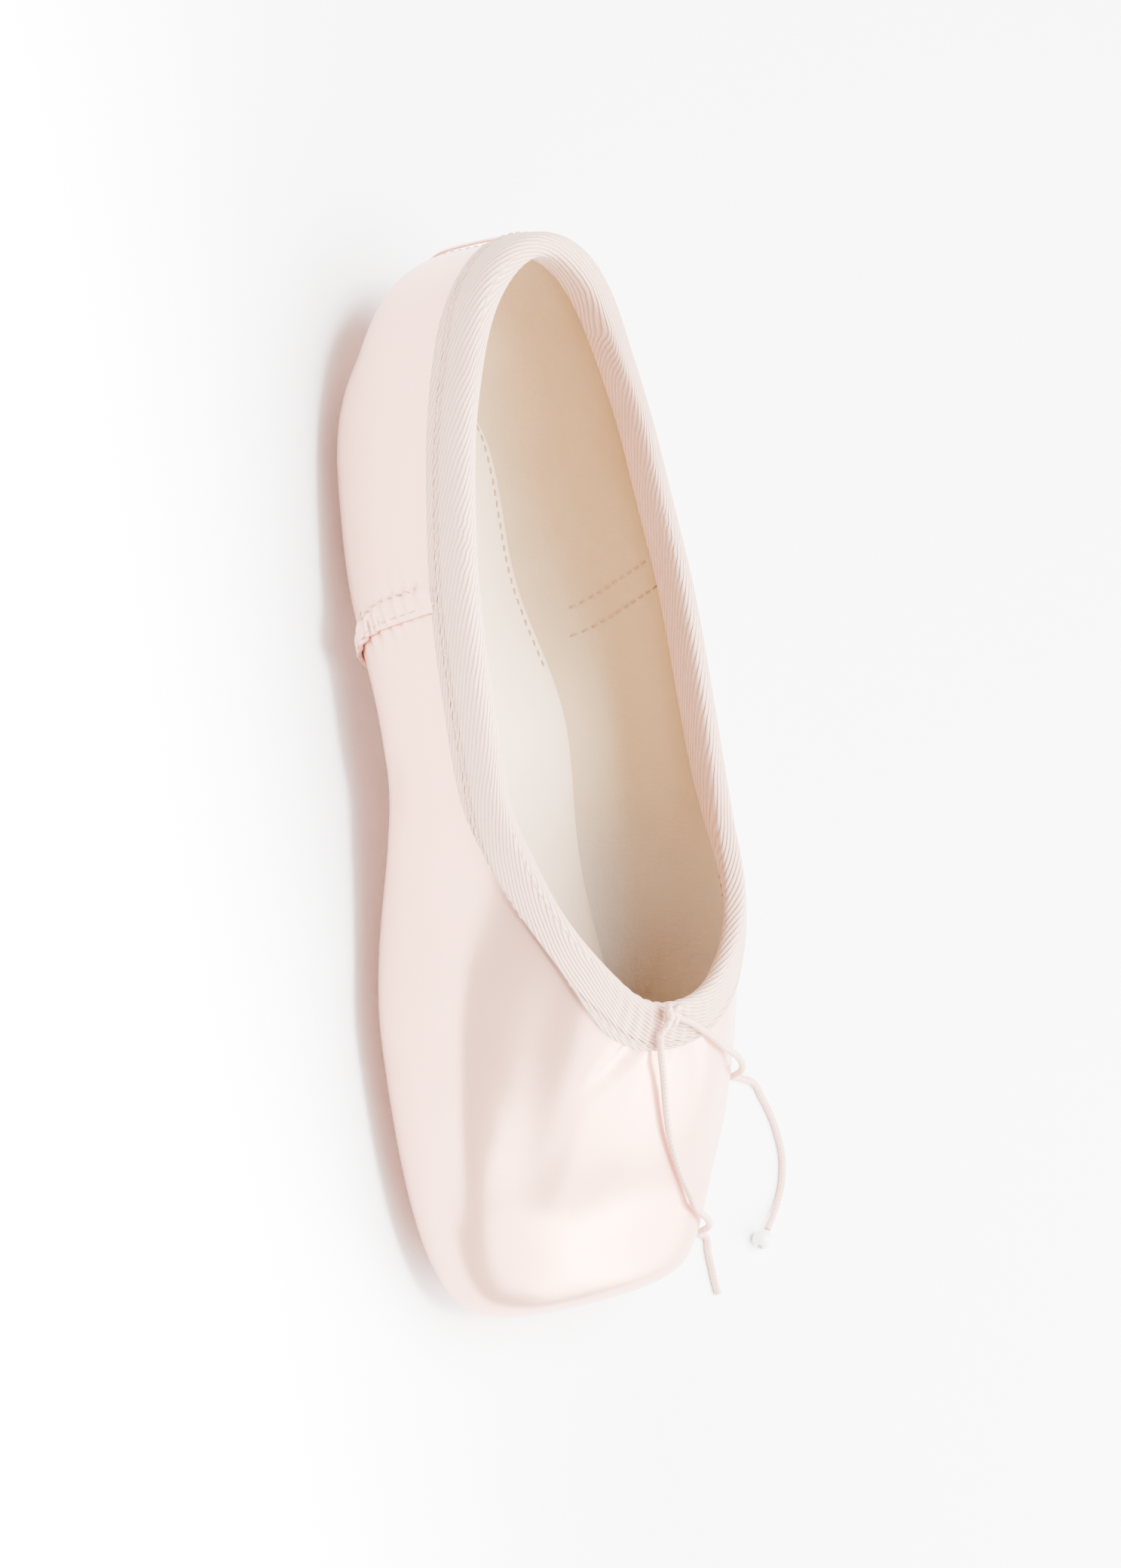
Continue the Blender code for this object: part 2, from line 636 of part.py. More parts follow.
def build_knot(finish):
    """Closed lump of the drawstring's knot, that rests on the binding."""
    centre, run, out = knot_place()
    shape = bmesh.new()
    bmesh.ops.create_uvsphere(shape, u_segments=16, v_segments=10, radius=0.5)
    for vertex in shape.verts:
        across, lengthways, upright = vertex.co
        vertex.co = (centre + Vector((across * KNOT_WIDTH, 0, 0))
                     + run * lengthways * KNOT_LENGTH + out * upright * KNOT_HEIGHT)
    return finish_mesh("drawstring_knot", shape, finish)


def smooth_route(route):
    """Even points along a smooth curve through a route's own points."""
    points = np.array(route)
    tangents = np.gradient(points, axis=0)
    u = np.linspace(0, 1, ROUTE_SAMPLES, endpoint=False)[:, None]
    spans = [
        (1 + 2 * u) * (1 - u) ** 2 * points[k] + u * (1 - u) ** 2 * tangents[k]
        + u * u * (3 - 2 * u) * points[k + 1] - u * u * (1 - u) * tangents[k + 1]
        for k in range(len(points) - 1)
    ]
    line = np.vstack(spans + [points[-1:]])
    length = np.linalg.norm(np.diff(line, axis=0), axis=1).sum()
    return even_line(line, round(length / CORD_STEP))


def build_cord(name, route, finish):
    """Free end of the drawstring, as a round tube with closed ends."""
    curve = bpy.data.curves.new(name, "CURVE")
    curve.dimensions = "3D"
    curve.bevel_depth = CORD_DIAMETER / 2
    curve.bevel_resolution = 2
    curve.use_fill_caps = True
    points = smooth_route(route)
    spline = curve.splines.new("POLY")
    spline.points.add(len(points) - 1)
    for target, point in zip(spline.points, points):
        target.co = (*point, 1)
    return add_object(name, curve, finish)


def build_bead(finish):
    """Round bead at the end of the longer cord."""
    shape = bmesh.new()
    bmesh.ops.create_uvsphere(shape, u_segments=12, v_segments=8, radius=BEAD_DIAMETER / 2)
    bmesh.ops.translate(shape, verts=shape.verts, vec=BEAD_PLACE)
    return finish_mesh("drawstring_bead", shape, finish)


def main():
    """Empty the scene and build every piece of the shoe."""
    for old in list(bpy.data.objects):
        bpy.data.objects.remove(old)
    satin = material("pink_satin", (0.90, 0.74, 0.68), 0.30)
    twill = material("cotton_twill", (0.90, 0.78, 0.71), 0.85)
    canvas = material("canvas_sock", (0.88, 0.84, 0.76), 0.90)
    leather = material("suede_leather", (0.62, 0.50, 0.42), 0.85)
    elastic = material("elastic_cord", (0.92, 0.80, 0.75), 0.70)
    plastic = material("clear_white_plastic", (0.93, 0.91, 0.88), 0.25)
    build_outsole(leather)
    build_upper(satin)
    build_insole(canvas)
    build_binding(twill)
    build_side_seam("side_seam_right", -1, satin)
    build_side_seam("side_seam_left", 1, satin)
    build_back_seam(satin)
    build_toe_patch(satin)
    build_knot(elastic)
    build_cord("drawstring_end_short", SHORT_END, elastic)
    build_cord("drawstring_end_long", LONG_END, elastic)
    build_bead(plastic)


main()
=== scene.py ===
# %% [markdown]
# A pointe shoe is a satin slipper over a stiff pasted box. This lesson dresses the plain solids of
# such a shoe: they come as a fixed frame, in metres, with the toe towards -Y and the floor at Z = 0.
# Solids that already have the right form are copied, merged and smoothed, and only then get their
# creases, so that every finished piece stays where its solid is.

# %% Load the frame
import math

import bmesh
import bpy
import numpy as np
from mathutils import Matrix, Vector
from mathutils.bvhtree import BVHTree


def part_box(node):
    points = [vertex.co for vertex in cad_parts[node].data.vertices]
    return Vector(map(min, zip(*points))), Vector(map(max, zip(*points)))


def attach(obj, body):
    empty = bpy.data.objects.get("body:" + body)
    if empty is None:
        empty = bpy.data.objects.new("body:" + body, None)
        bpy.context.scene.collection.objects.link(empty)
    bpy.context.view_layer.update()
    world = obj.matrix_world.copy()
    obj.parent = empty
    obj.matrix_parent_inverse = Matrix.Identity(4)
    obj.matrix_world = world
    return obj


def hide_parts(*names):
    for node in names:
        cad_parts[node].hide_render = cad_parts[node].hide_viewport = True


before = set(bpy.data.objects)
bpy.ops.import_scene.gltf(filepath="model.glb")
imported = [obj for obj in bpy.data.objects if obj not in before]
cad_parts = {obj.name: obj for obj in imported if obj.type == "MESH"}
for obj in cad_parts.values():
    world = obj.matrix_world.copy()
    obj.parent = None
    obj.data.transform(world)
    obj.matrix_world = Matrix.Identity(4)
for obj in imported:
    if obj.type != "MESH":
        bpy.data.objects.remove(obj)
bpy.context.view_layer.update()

MM = 0.001

# %% [markdown]
# The photograph looks down on the shoe from its right side, about 47 degrees above the floor, with the
# heel at the top of the picture. A camera could be turned by three angles, but it is easier to read
# when it is built from its own three directions: what is right, up and back in the picture.

# %% Camera
VIEW_ELEVATION = math.radians(46.7)
VIEW_ROLL = math.radians(-8.83)
VIEW_DISTANCE = 0.9233
VIEW_TARGET = Vector((0, 0, 0.025))
PICTURE_HEIGHT = 0.3520
PICTURE_SHIFT = (0.0074, -0.0020)

back = Vector((-math.cos(VIEW_ELEVATION), 0, math.sin(VIEW_ELEVATION)))
level_right = Vector((0, 1, 0)).cross(back).normalized()
level_up = back.cross(level_right)
picture_right = math.cos(VIEW_ROLL) * level_right + math.sin(VIEW_ROLL) * level_up
picture_up = math.cos(VIEW_ROLL) * level_up - math.sin(VIEW_ROLL) * level_right
centre = VIEW_TARGET + PICTURE_SHIFT[0] * picture_right + PICTURE_SHIFT[1] * picture_up

lens = bpy.data.cameras.new("photo_camera")
lens.sensor_fit = "VERTICAL"
lens.lens = lens.sensor_height * VIEW_DISTANCE / PICTURE_HEIGHT
lens.clip_start = 0.01
camera = bpy.data.objects.new("photo_camera", lens)
turn = Matrix((picture_right, picture_up, back)).transposed().to_4x4()
camera.matrix_world = Matrix.Translation(centre + back * VIEW_DISTANCE) @ turn
bpy.context.scene.collection.objects.link(camera)
bpy.context.scene.camera = camera
print("camera: lens", round(lens.lens, 1), "mm")

# %% [markdown]
# Several finishes share an effect, such as a slow change of tone across dyed cloth, or the fine lines
# of its threads. Each effect is one node group with named inputs, which every material places with its
# own values. A small helper keeps the wiring short: it adds a node, sets its inputs and links them.

# %% Node helpers
def place(tree, kind, inputs=(), **settings):
    """Add a node, set its properties and fill its inputs with values or with other sockets."""
    node = tree.nodes.new(kind)
    for name, value in settings.items():
        setattr(node, name, value)
    for key, value in dict(inputs).items():
        if isinstance(value, bpy.types.NodeSocket):
            tree.links.new(value, node.inputs[key])
        else:
            node.inputs[key].default_value = value
    return node


def math_node(tree, operation, first, second=0.0):
    """One step of arithmetic on two values or sockets."""
    return place(tree, "ShaderNodeMath", {0: first, 1: second}, operation=operation).outputs[0]


def ramp_between(tree, value, low, high):
    """Map a range of a value to 0..1 with a soft start and end."""
    made = place(tree, "ShaderNodeMapRange", {"Value": value, "From Min": low, "From Max": high},
                 interpolation_type="SMOOTHSTEP")
    return made.outputs["Result"]


def blend(tree, share, first, second):
    """A colour between two colours, the second one at a share of 1."""
    return place(tree, "ShaderNodeMix", {0: share, 6: first, 7: second}, data_type="RGBA").outputs[2]


def noise(tree, spot, scale, detail=2.0, roughness=0.5):
    """Soft random patches from 0 to 1, the smaller the larger their scale."""
    inputs = {"Vector": spot, "Scale": scale, "Detail": detail, "Roughness": roughness}
    return place(tree, "ShaderNodeTexNoise", inputs).outputs["Fac"]


def new_group(name, inputs, outputs):
    """Start a node group with named float, colour or vector sockets."""
    group = bpy.data.node_groups.new(name, "ShaderNodeTree")
    kinds = {"float": "NodeSocketFloat", "colour": "NodeSocketColor", "vector": "NodeSocketVector"}
    for label, kind, default in inputs:
        socket = group.interface.new_socket(label, in_out="INPUT", socket_type=kinds[kind])
        if default is not None:
            socket.default_value = default
    for label, kind in outputs:
        group.interface.new_socket(label, in_out="OUTPUT", socket_type=kinds[kind])
    return group, group.nodes.new("NodeGroupInput").outputs, group.nodes.new("NodeGroupOutput").inputs


def use_group(tree, group, inputs):
    """Place a node group in a material."""
    return place(tree, "ShaderNodeGroup", inputs, node_tree=group).outputs


# %% Shared effects: cloth tone and fine threads
cloth_tone, given, result = new_group(
    "cloth_tone",
    [("Vector", "vector", None), ("Colour", "colour", (0.8, 0.7, 0.6, 1)),
     ("Shade", "colour", (0.6, 0.5, 0.4, 1)), ("Size", "float", 30.0), ("Amount", "float", 0.3)],
    [("Colour", "colour")])
blotch = noise(cloth_tone, given["Vector"], given["Size"], 4.0, 0.6)
share = math_node(cloth_tone, "MULTIPLY", ramp_between(cloth_tone, blotch, 0.35, 0.75), given["Amount"])
cloth_tone.links.new(blend(cloth_tone, share, given["Colour"], given["Shade"]), result["Colour"])

fine_threads, given, result = new_group(
    "fine_threads",
    [("Vector", "vector", None), ("Warp", "float", 1800.0), ("Weft", "float", 300.0), ("Mix", "float", 0.5)],
    [("Height", "float")])
drawn_out = []
for one, other in (("Warp", "Weft"), ("Weft", "Warp")):
    squeeze = place(fine_threads, "ShaderNodeCombineXYZ", {0: given[one], 1: given[other], 2: given[one]})
    squeezed = place(fine_threads, "ShaderNodeVectorMath", {0: given["Vector"], 1: squeeze.outputs[0]},
                     operation="MULTIPLY")
    drawn_out.append(noise(fine_threads, squeezed.outputs[0], 1.0))
woven = place(fine_threads, "ShaderNodeMix", {0: given["Mix"], 2: drawn_out[0], 3: drawn_out[1]})
fine_threads.links.new(woven.outputs[0], result["Height"])
print("groups:", [group.name for group in bpy.data.node_groups])

# %% [markdown]
# Satin is a weave whose long threads float over several others, so it is smooth and throws back long
# soft streaks. A Principled shader that is partly metallic and fairly smooth gives the streaks, and a
# thin bump of drawn out noise breaks them into threads. Cotton tape and canvas are rougher and have no
# streaks at all.

# %% Satin, canvas and thread
def new_material(name, colour, roughness, specular=0.5):
    """A material with one Principled shader, its tree and its Object coordinates."""
    made = bpy.data.materials.new(name)
    made.use_nodes = True
    tree = made.node_tree
    shader = tree.nodes["Principled BSDF"]
    shader.inputs["Base Color"].default_value = (*colour, 1)
    shader.inputs["Roughness"].default_value = roughness
    shader.inputs["Specular IOR Level"].default_value = specular
    spot = tree.nodes.new("ShaderNodeTexCoord").outputs["Object"]
    return made, tree, shader, spot


def add_bump(tree, shader, height, distance, strength=1.0, under=None):
    """Feed a height to the shader's normal, over an earlier bump if there is one."""
    inputs = {"Height": height, "Distance": distance, "Strength": strength}
    if under is not None:
        inputs["Normal"] = under
    bump = place(tree, "ShaderNodeBump", inputs)
    tree.links.new(bump.outputs["Normal"], shader.inputs["Normal"])
    return bump.outputs["Normal"]


SATIN_COLOUR = (0.86, 0.47, 0.35)
SATIN_SHADE = (0.72, 0.36, 0.26)
TAPE_COLOUR = (0.78, 0.49, 0.38)
TAPE_SHADE = (0.68, 0.42, 0.31)
PAINTED_GROOVE_SHADE = (0.40, 0.22, 0.14)
LINING_COLOUR = (0.48, 0.34, 0.20)
LINING_SHADE = (0.38, 0.26, 0.14)
PASTE_AND_FILL_LIGHT_COLOUR = (0.50, 0.41, 0.33)
SOCK_COLOUR = (0.70, 0.54, 0.39)
SOCK_SHADE = (0.60, 0.44, 0.30)
THREAD_COLOUR = (0.62, 0.37, 0.27)
LINING_THREAD_COLOUR = (0.38, 0.24, 0.13)
ELASTIC_COLOUR = (0.74, 0.46, 0.36)
BEAD_COLOUR = (0.90, 0.88, 0.84)
SUEDE_COLOUR = (0.56, 0.45, 0.37)
SUEDE_SHADE = (0.47, 0.36, 0.29)
SUEDE_EDGE = (0.36, 0.26, 0.20)
SUEDE_MARK = (0.36, 0.27, 0.21)
SUEDE_HOLE_PAINTED_SHADE = (0.13, 0.09, 0.07)


def dye(tree, shader, spot, colour, shade, size, amount):
    """Give a shader a cloth's slow change between two tones, and hand on that colour."""
    tone = use_group(tree, cloth_tone, {"Vector": spot, "Colour": (*colour, 1), "Shade": (*shade, 1),
                                        "Size": size, "Amount": amount})
    tree.links.new(tone["Colour"], shader.inputs["Base Color"])
    return tone["Colour"]


def weave(tree, spot, warp, weft, mix):
    """The height of fine threads that run both ways."""
    return use_group(tree, fine_threads, {"Vector": spot, "Warp": warp, "Weft": weft, "Mix": mix})["Height"]


satin, tree, shader, spot = new_material("pink_satin", SATIN_COLOUR, 0.29, 0.8)
shader.inputs["Metallic"].default_value = 0.60
shader.inputs["Sheen Weight"].default_value = 0.12
shader.inputs["Sheen Roughness"].default_value = 0.35
shader.inputs["Sheen Tint"].default_value = (1.0, 0.93, 0.90, 1)
dye(tree, shader, spot, SATIN_COLOUR, SATIN_SHADE, 26.0, 0.35)
first = add_bump(tree, shader, weave(tree, spot, 2600.0, 130.0, 0.30), 0.06 * MM, 0.35)
add_bump(tree, shader, noise(tree, spot, 55.0, 1.0), 0.6 * MM, 0.30, under=first)

# The box is stiffened with paste, so its canvas is greyer than the heel's; the same paler colour is also
# painted fill light for the enclosed toe: where that starts and ends
PASTE_AND_FILL_LIGHT_START = 5 * MM
PASTE_AND_FILL_LIGHT_FULL = -50 * MM
canvas, tree, shader, spot = new_material("lining_canvas", LINING_COLOUR, 0.9, 0.2)
dyed = dye(tree, shader, spot, LINING_COLOUR, LINING_SHADE, 22.0, 0.6)
_, lengthways, _ = place(tree, "ShaderNodeSeparateXYZ", {0: spot}).outputs
paste_and_fill_light = blend(tree, ramp_between(tree, lengthways, PASTE_AND_FILL_LIGHT_START, PASTE_AND_FILL_LIGHT_FULL), dyed, (*PASTE_AND_FILL_LIGHT_COLOUR, 1))
tree.links.new(paste_and_fill_light, shader.inputs["Base Color"])
add_bump(tree, shader, weave(tree, spot, 1500.0, 500.0, 0.5), 0.25 * MM, 0.6)


def sewing_thread(name, colour):
    """Twisted cotton thread."""
    made, tree, shader, spot = new_material(name, colour, 0.6, 0.4)
    dye(tree, shader, spot, colour, tuple(0.8 * part for part in colour), 200.0, 0.6)
    add_bump(tree, shader, noise(tree, spot, 2500.0), 0.1 * MM, 0.5)
    return made


thread = sewing_thread("pink_thread", THREAD_COLOUR)
lining_thread = sewing_thread("tan_thread", LINING_THREAD_COLOUR)
print("finishes:", [made.name for made in (satin, canvas, thread, lining_thread)])

# %% [markdown]
# The drawstring is a thin braided elastic cord. It comes out of the binding at the throat, is tied, and
# its two ends fall over the vamp to the floor. One end is cut plain and the other carries a small
# bead. Their routes come first, because a cord has a real length that must lie somewhere.

# %% Cord routes
CORD_DIAMETER = 1.6 * MM
SHORT_END = (
    (-0.0069, -0.0602, 0.0616), (-0.0061, -0.0622, 0.0604), (-0.0049, -0.0648, 0.0588),
    (-0.0023, -0.0692, 0.0558), (-0.0001, -0.0736, 0.0531), (0.0022, -0.0781, 0.0503),
    (0.0055, -0.0835, 0.0468), (0.0095, -0.0883, 0.0433), (0.0147, -0.0934, 0.0389),
    (0.0193, -0.0975, 0.0355), (0.0222, -0.1004, 0.0335), (0.0247, -0.1032, 0.0318),
    (0.0310, -0.1065, 0.0283), (0.0360, -0.1091, 0.0236), (0.0379, -0.1107, 0.0182),
    (0.0385, -0.1116, 0.0120), (0.0401, -0.1121, 0.0062), (0.0435, -0.1122, 0.0024),
    (0.0479, -0.1122, 0.0010), (0.0562, -0.1146, 0.0009), (0.0566, -0.1186, 0.0009),
    (0.0569, -0.1220, 0.0009), (0.0572, -0.1255, 0.0009), (0.0577, -0.1290, 0.0009),
)
LONG_END = (
    (-0.0016, -0.0573, 0.0628), (0.0012, -0.0583, 0.0622), (0.0043, -0.0597, 0.0614),
    (0.0077, -0.0615, 0.0603), (0.0122, -0.0636, 0.0585), (0.0172, -0.0661, 0.0559),
    (0.0268, -0.0695, 0.0502), (0.0338, -0.0723, 0.0445), (0.0397, -0.0745, 0.0375),
    (0.0437, -0.0761, 0.0295), (0.0453, -0.0771, 0.0210), (0.0458, -0.0777, 0.0130),
    (0.0475, -0.0781, 0.0066), (0.0515, -0.0783, 0.0024), (0.0573, -0.0783, 0.0010),
    (0.0643, -0.0782, 0.0009), (0.0718, -0.0788, 0.0009), (0.0802, -0.0816, 0.0009),
    (0.0827, -0.0859, 0.0009), (0.0847, -0.0903, 0.0009), (0.0860, -0.0952, 0.0009),
    (0.0865, -0.1003, 0.0009), (0.0856, -0.1051, 0.0009), (0.0836, -0.1096, 0.0009),
    (0.0797, -0.1141, 0.0015), (0.0761, -0.1170, 0.0022),
)


def smooth_line(points, steps):
    """A smooth curve through points, as an array with that many points between each two."""
    points = np.array(points, dtype=float)
    slopes = np.gradient(points, axis=0)
    u = np.linspace(0, 1, steps, endpoint=False)[:, None]
    spans = [
        (1 + 2 * u) * (1 - u) ** 2 * points[k] + u * (1 - u) ** 2 * slopes[k]
        + u * u * (3 - 2 * u) * points[k + 1] - u * u * (1 - u) * slopes[k + 1]
        for k in range(len(points) - 1)
    ]
    return np.vstack(spans + [points[-1:]])


def line_length(line):
    return float(np.linalg.norm(np.diff(line, axis=0), axis=1).sum())


def runs_along(line):
    """How far along a line each of its points is."""
    return np.concatenate([[0], np.cumsum(np.linalg.norm(np.diff(line, axis=0), axis=1))])


short_line = smooth_line(SHORT_END, 6)
long_line = smooth_line(LONG_END, 6)
print("cords:", round(line_length(short_line), 4), "m and", round(line_length(long_line), 4), "m")


# %% Cord material and tubes
SAME_POINT = 0.01 * MM
elastic, tree, shader, spot = new_material("braided_elastic", ELASTIC_COLOUR, 0.6)
BRAID_STRANDS = 3.0
BRAID_PITCH = 1.3 * MM
braid_spot = tree.nodes.new("ShaderNodeTexCoord").outputs["UV"]
split = place(tree, "ShaderNodeSeparateXYZ", {0: braid_spot})
lean = math_node(tree, "MULTIPLY", split.outputs[1], BRAID_STRANDS * 2 * math.pi)
run = math_node(tree, "MULTIPLY", split.outputs[0], 2 * math.pi / BRAID_PITCH)
one_way = math_node(tree, "SINE", math_node(tree, "ADD", run, lean))
other_way = math_node(tree, "SINE", math_node(tree, "SUBTRACT", run, lean))
plait = math_node(tree, "MAXIMUM", one_way, other_way)
add_bump(tree, shader, plait, 0.12 * MM, 0.7)


def add_piece(name, mesh, *finishes):
    """Put a mesh in the scene as a piece of the shoe, at the origin, with its finishes."""
    piece = bpy.data.objects.new(name, mesh)
    for finish in finishes:
        mesh.materials.append(finish)
    bpy.context.scene.collection.objects.link(piece)
    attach(piece, "root")
    return piece


def tube_mesh(name, lines, diameter, closed=False, sides=4):
    """Round tubes along lines as one mesh, with the run in metres and the turn as a UV map."""
    curve = bpy.data.curves.new(name, "CURVE")
    curve.dimensions = "3D"
    curve.bevel_depth = diameter / 2
    curve.bevel_resolution = sides
    curve.use_fill_caps = not closed
    for line in lines:
        spline = curve.splines.new("POLY")
        spline.use_cyclic_u = closed
        spline.points.add(len(line) - 1)
        for target, point in zip(spline.points, line):
            target.co = (*point, 1)
    guide = bpy.data.objects.new(name + "_guide", curve)
    bpy.context.scene.collection.objects.link(guide)
    mesh = bpy.data.meshes.new_from_object(guide.evaluated_get(bpy.context.evaluated_depsgraph_get()))
    bpy.data.objects.remove(guide)
    mesh.name = name
    mesh.materials.clear()
    shape = bmesh.new()
    shape.from_mesh(mesh)
    bmesh.ops.remove_doubles(shape, verts=shape.verts, dist=SAME_POINT)
    bmesh.ops.recalc_face_normals(shape, faces=shape.faces)
    layer = shape.loops.layers.uv.verify()
    total = line_length(lines[0])
    for face in shape.faces:
        for corner in face.loops:
            corner[layer].uv = (corner[layer].uv[0] * total, corner[layer].uv[1])
    shape.to_mesh(mesh)
    shape.free()
    mesh.shade_smooth()
    return mesh


def tube(name, line, diameter, finish, closed=False):
    """One round tube along a line, as a piece."""
    return add_piece(name, tube_mesh(name, [line], diameter, closed), finish)


# A stitch: how far along it each point is, and how many thread radii it stands over the cloth
STITCH_ARCH = [(0.00, -0.9), (0.14, 0.25), (0.5, 0.75), (0.86, 0.25), (1.00, -0.9)]

# A kind of sewing: the pitch, the share of it that is thread, the thread's diameter, and its lean
SEWING = {
    "hem": (2.3 * MM, 0.62, 0.42 * MM, 0.25),
    "seam_edge": (3.2 * MM, 0.55, 0.35 * MM, 0.0),
    "seam_back": (2.9 * MM, 0.62, 0.50 * MM, 0.3),
    "lining": (2.8 * MM, 0.60, 0.50 * MM, 0.0),
    "heel": (2.6 * MM, 0.55, 0.35 * MM, 0.0),
    "toe": (2.6 * MM, 0.60, 0.45 * MM, 0.4),
    "sock": (2.6 * MM, 0.55, 0.50 * MM, 0.15),
}


def stitch_row(name, line, outward, sewing, finish):
    """A row of short threads along a line on cloth, each dipping in at both ends, as one piece.
    outward: a direction for every point of the line; sewing: one of the kinds above."""
    pitch, share, diameter, slant = SEWING[sewing]
    line = np.array(line, dtype=float)
    runs = runs_along(line)
    threads = []
    for k in range(int(runs[-1] / pitch)):
        middle = (k + 0.5) * pitch
        spots = middle + (np.array([along for along, _ in STITCH_ARCH]) - 0.5) * share * pitch
        points = np.stack([np.interp(spots, runs, line[:, axis]) for axis in range(3)], axis=1)
        facing = np.array([np.interp(middle, runs, outward[:, axis]) for axis in range(3)])
        facing /= np.linalg.norm(facing)
        aside = np.cross(points[-1] - points[0], facing)
        lift = np.array([rise for _, rise in STITCH_ARCH]) * diameter / 2
        lean = np.array([along - 0.5 for along, _ in STITCH_ARCH]) * slant
        threads.append(points + lift[:, None] * facing + lean[:, None] * aside)
    return add_piece(name, tube_mesh(name, threads, diameter, sides=1), finish)


short_cord = tube("cord_short", short_line, CORD_DIAMETER, elastic)
long_cord = tube("cord_long", long_line, CORD_DIAMETER, elastic)
print("cord tubes:", len(short_cord.data.vertices), "and", len(long_cord.data.vertices), "points")

# %% [markdown]
# The knot is pulled tight, so it is a small upright lump with one lobe behind the other. A trefoil is
# the line of a plain overhand knot, and a tube along a narrow trefoil gives its crossing turns.

# %% Knot and bead
knot_low, knot_high = (np.array(corner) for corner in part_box("drawstring_knot"))
knot_middle = (knot_low + knot_high) / 2
KNOT_HALF_WIDTH = 1.15 * MM
KNOT_HALF_LENGTH = 1.9 * MM
KNOT_HALF_DEPTH = 0.75 * MM
VAMP_SLOPE = math.atan2(-0.5, 1.0)
turns = np.linspace(0, 2 * math.pi, 90, endpoint=False)
flat_knot = np.stack([
    KNOT_HALF_WIDTH * (np.sin(turns) + 2 * np.sin(2 * turns)) / 2.2,
    KNOT_HALF_LENGTH * (np.cos(turns) - 2 * np.cos(2 * turns)) / 2.4,
    KNOT_HALF_DEPTH * -np.sin(3 * turns)], axis=1)
tilt = np.array(Matrix.Rotation(-VAMP_SLOPE, 3, "X"))
knot = tube("cord_knot", flat_knot @ tilt.T + knot_middle, CORD_DIAMETER, elastic, closed=True)
TAIL_LIFT = 0.5 * MM
for name, line in (("cord_tail_short", short_line), ("cord_tail_long", long_line)):
    halfway = (knot_middle + line[0]) / 2 + np.array([0, 0, TAIL_LIFT])
    tail = tube(name, smooth_line([knot_middle, halfway, line[0], line[1]], 5), CORD_DIAMETER, elastic)
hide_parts("drawstring_knot")

pearl, tree, shader, spot = new_material("milky_bead", BEAD_COLOUR, 0.18)
shader.inputs["Coat Weight"].default_value = 0.5
shader.inputs["Subsurface Weight"].default_value = 0.2
shader.inputs["Subsurface Scale"].default_value = 0.002
add_bump(tree, shader, noise(tree, spot, 400.0, 3.0), 0.1 * MM, 0.3)
bead_low, bead_high = (Vector(corner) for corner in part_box("drawstring_bead"))
BEAD_RADIUS = 2.5 * MM
HOLE_RADIUS = 0.75 * MM
shape = bmesh.new()
hole_angle = math.asin(HOLE_RADIUS / BEAD_RADIUS)
arc = np.linspace(hole_angle, math.pi - hole_angle, 14)
rim = [shape.verts.new((BEAD_RADIUS * math.sin(a), 0, BEAD_RADIUS * math.cos(a))) for a in arc]
rim.append(shape.verts.new((HOLE_RADIUS, 0, -0.6 * BEAD_RADIUS)))
rim.insert(0, shape.verts.new((HOLE_RADIUS, 0, 0.6 * BEAD_RADIUS)))
edges = [shape.edges.new(pair) for pair in zip(rim, rim[1:])]
edges.append(shape.edges.new((rim[-1], rim[0])))
bmesh.ops.spin(shape, geom=rim + edges, cent=(0, 0, 0), axis=(0, 0, 1), angle=2 * math.pi, steps=28,
               use_merge=True)
bmesh.ops.remove_doubles(shape, verts=shape.verts, dist=SAME_POINT)
bmesh.ops.recalc_face_normals(shape, faces=shape.faces)
ahead = Vector(long_line[-1] - long_line[-8]).normalized()
bead_turn = Vector((0, 0, 1)).rotation_difference(ahead).to_matrix()
bmesh.ops.transform(shape, matrix=Matrix.Translation((bead_low + bead_high) / 2) @ bead_turn.to_4x4(),
                    verts=shape.verts)
mesh = bpy.data.meshes.new("cord_bead")
shape.to_mesh(mesh)
shape.free()
mesh.shade_smooth()
bead = add_piece("cord_bead", mesh, pearl)
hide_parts("drawstring_bead")

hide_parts("drawstring_end_short")
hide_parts("drawstring_end_long")
print("knot:", len(knot.data.vertices), "points, bead:", len(bead.data.vertices), "points")

# %% [markdown]
# The upper's solid has flat faces. A copy of it is merged, its triangles are joined back into quads,
# and a Subdivision Surface rounds it. The modifier is applied at once, because the folds are then
# pressed into the finished points. Its outer faces are satin and its inner faces are canvas.

# %% Copy and smooth a solid
WELD = 0.002 * MM
SHARP_ANGLE = math.radians(50)


def merged_copy(node):
    """A bmesh of a solid, with its loose triangles merged and joined into quads."""
    shape = bmesh.new()
    shape.from_mesh(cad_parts[node].data)
    bmesh.ops.remove_doubles(shape, verts=shape.verts, dist=WELD)
    bmesh.ops.join_triangles(shape, faces=shape.faces, angle_face_threshold=1.2, angle_shape_threshold=3.1)
    return shape


def keep_corners(shape):
    """Crease the sharp edges of a bmesh fully, so that a Subdivision Surface leaves them sharp."""
    crease = shape.edges.layers.float.get("crease_edge") or shape.edges.layers.float.new("crease_edge")
    for edge in shape.edges:
        if edge.is_manifold and edge.calc_face_angle() > SHARP_ANGLE:
            edge[crease] = 1.0
    return shape


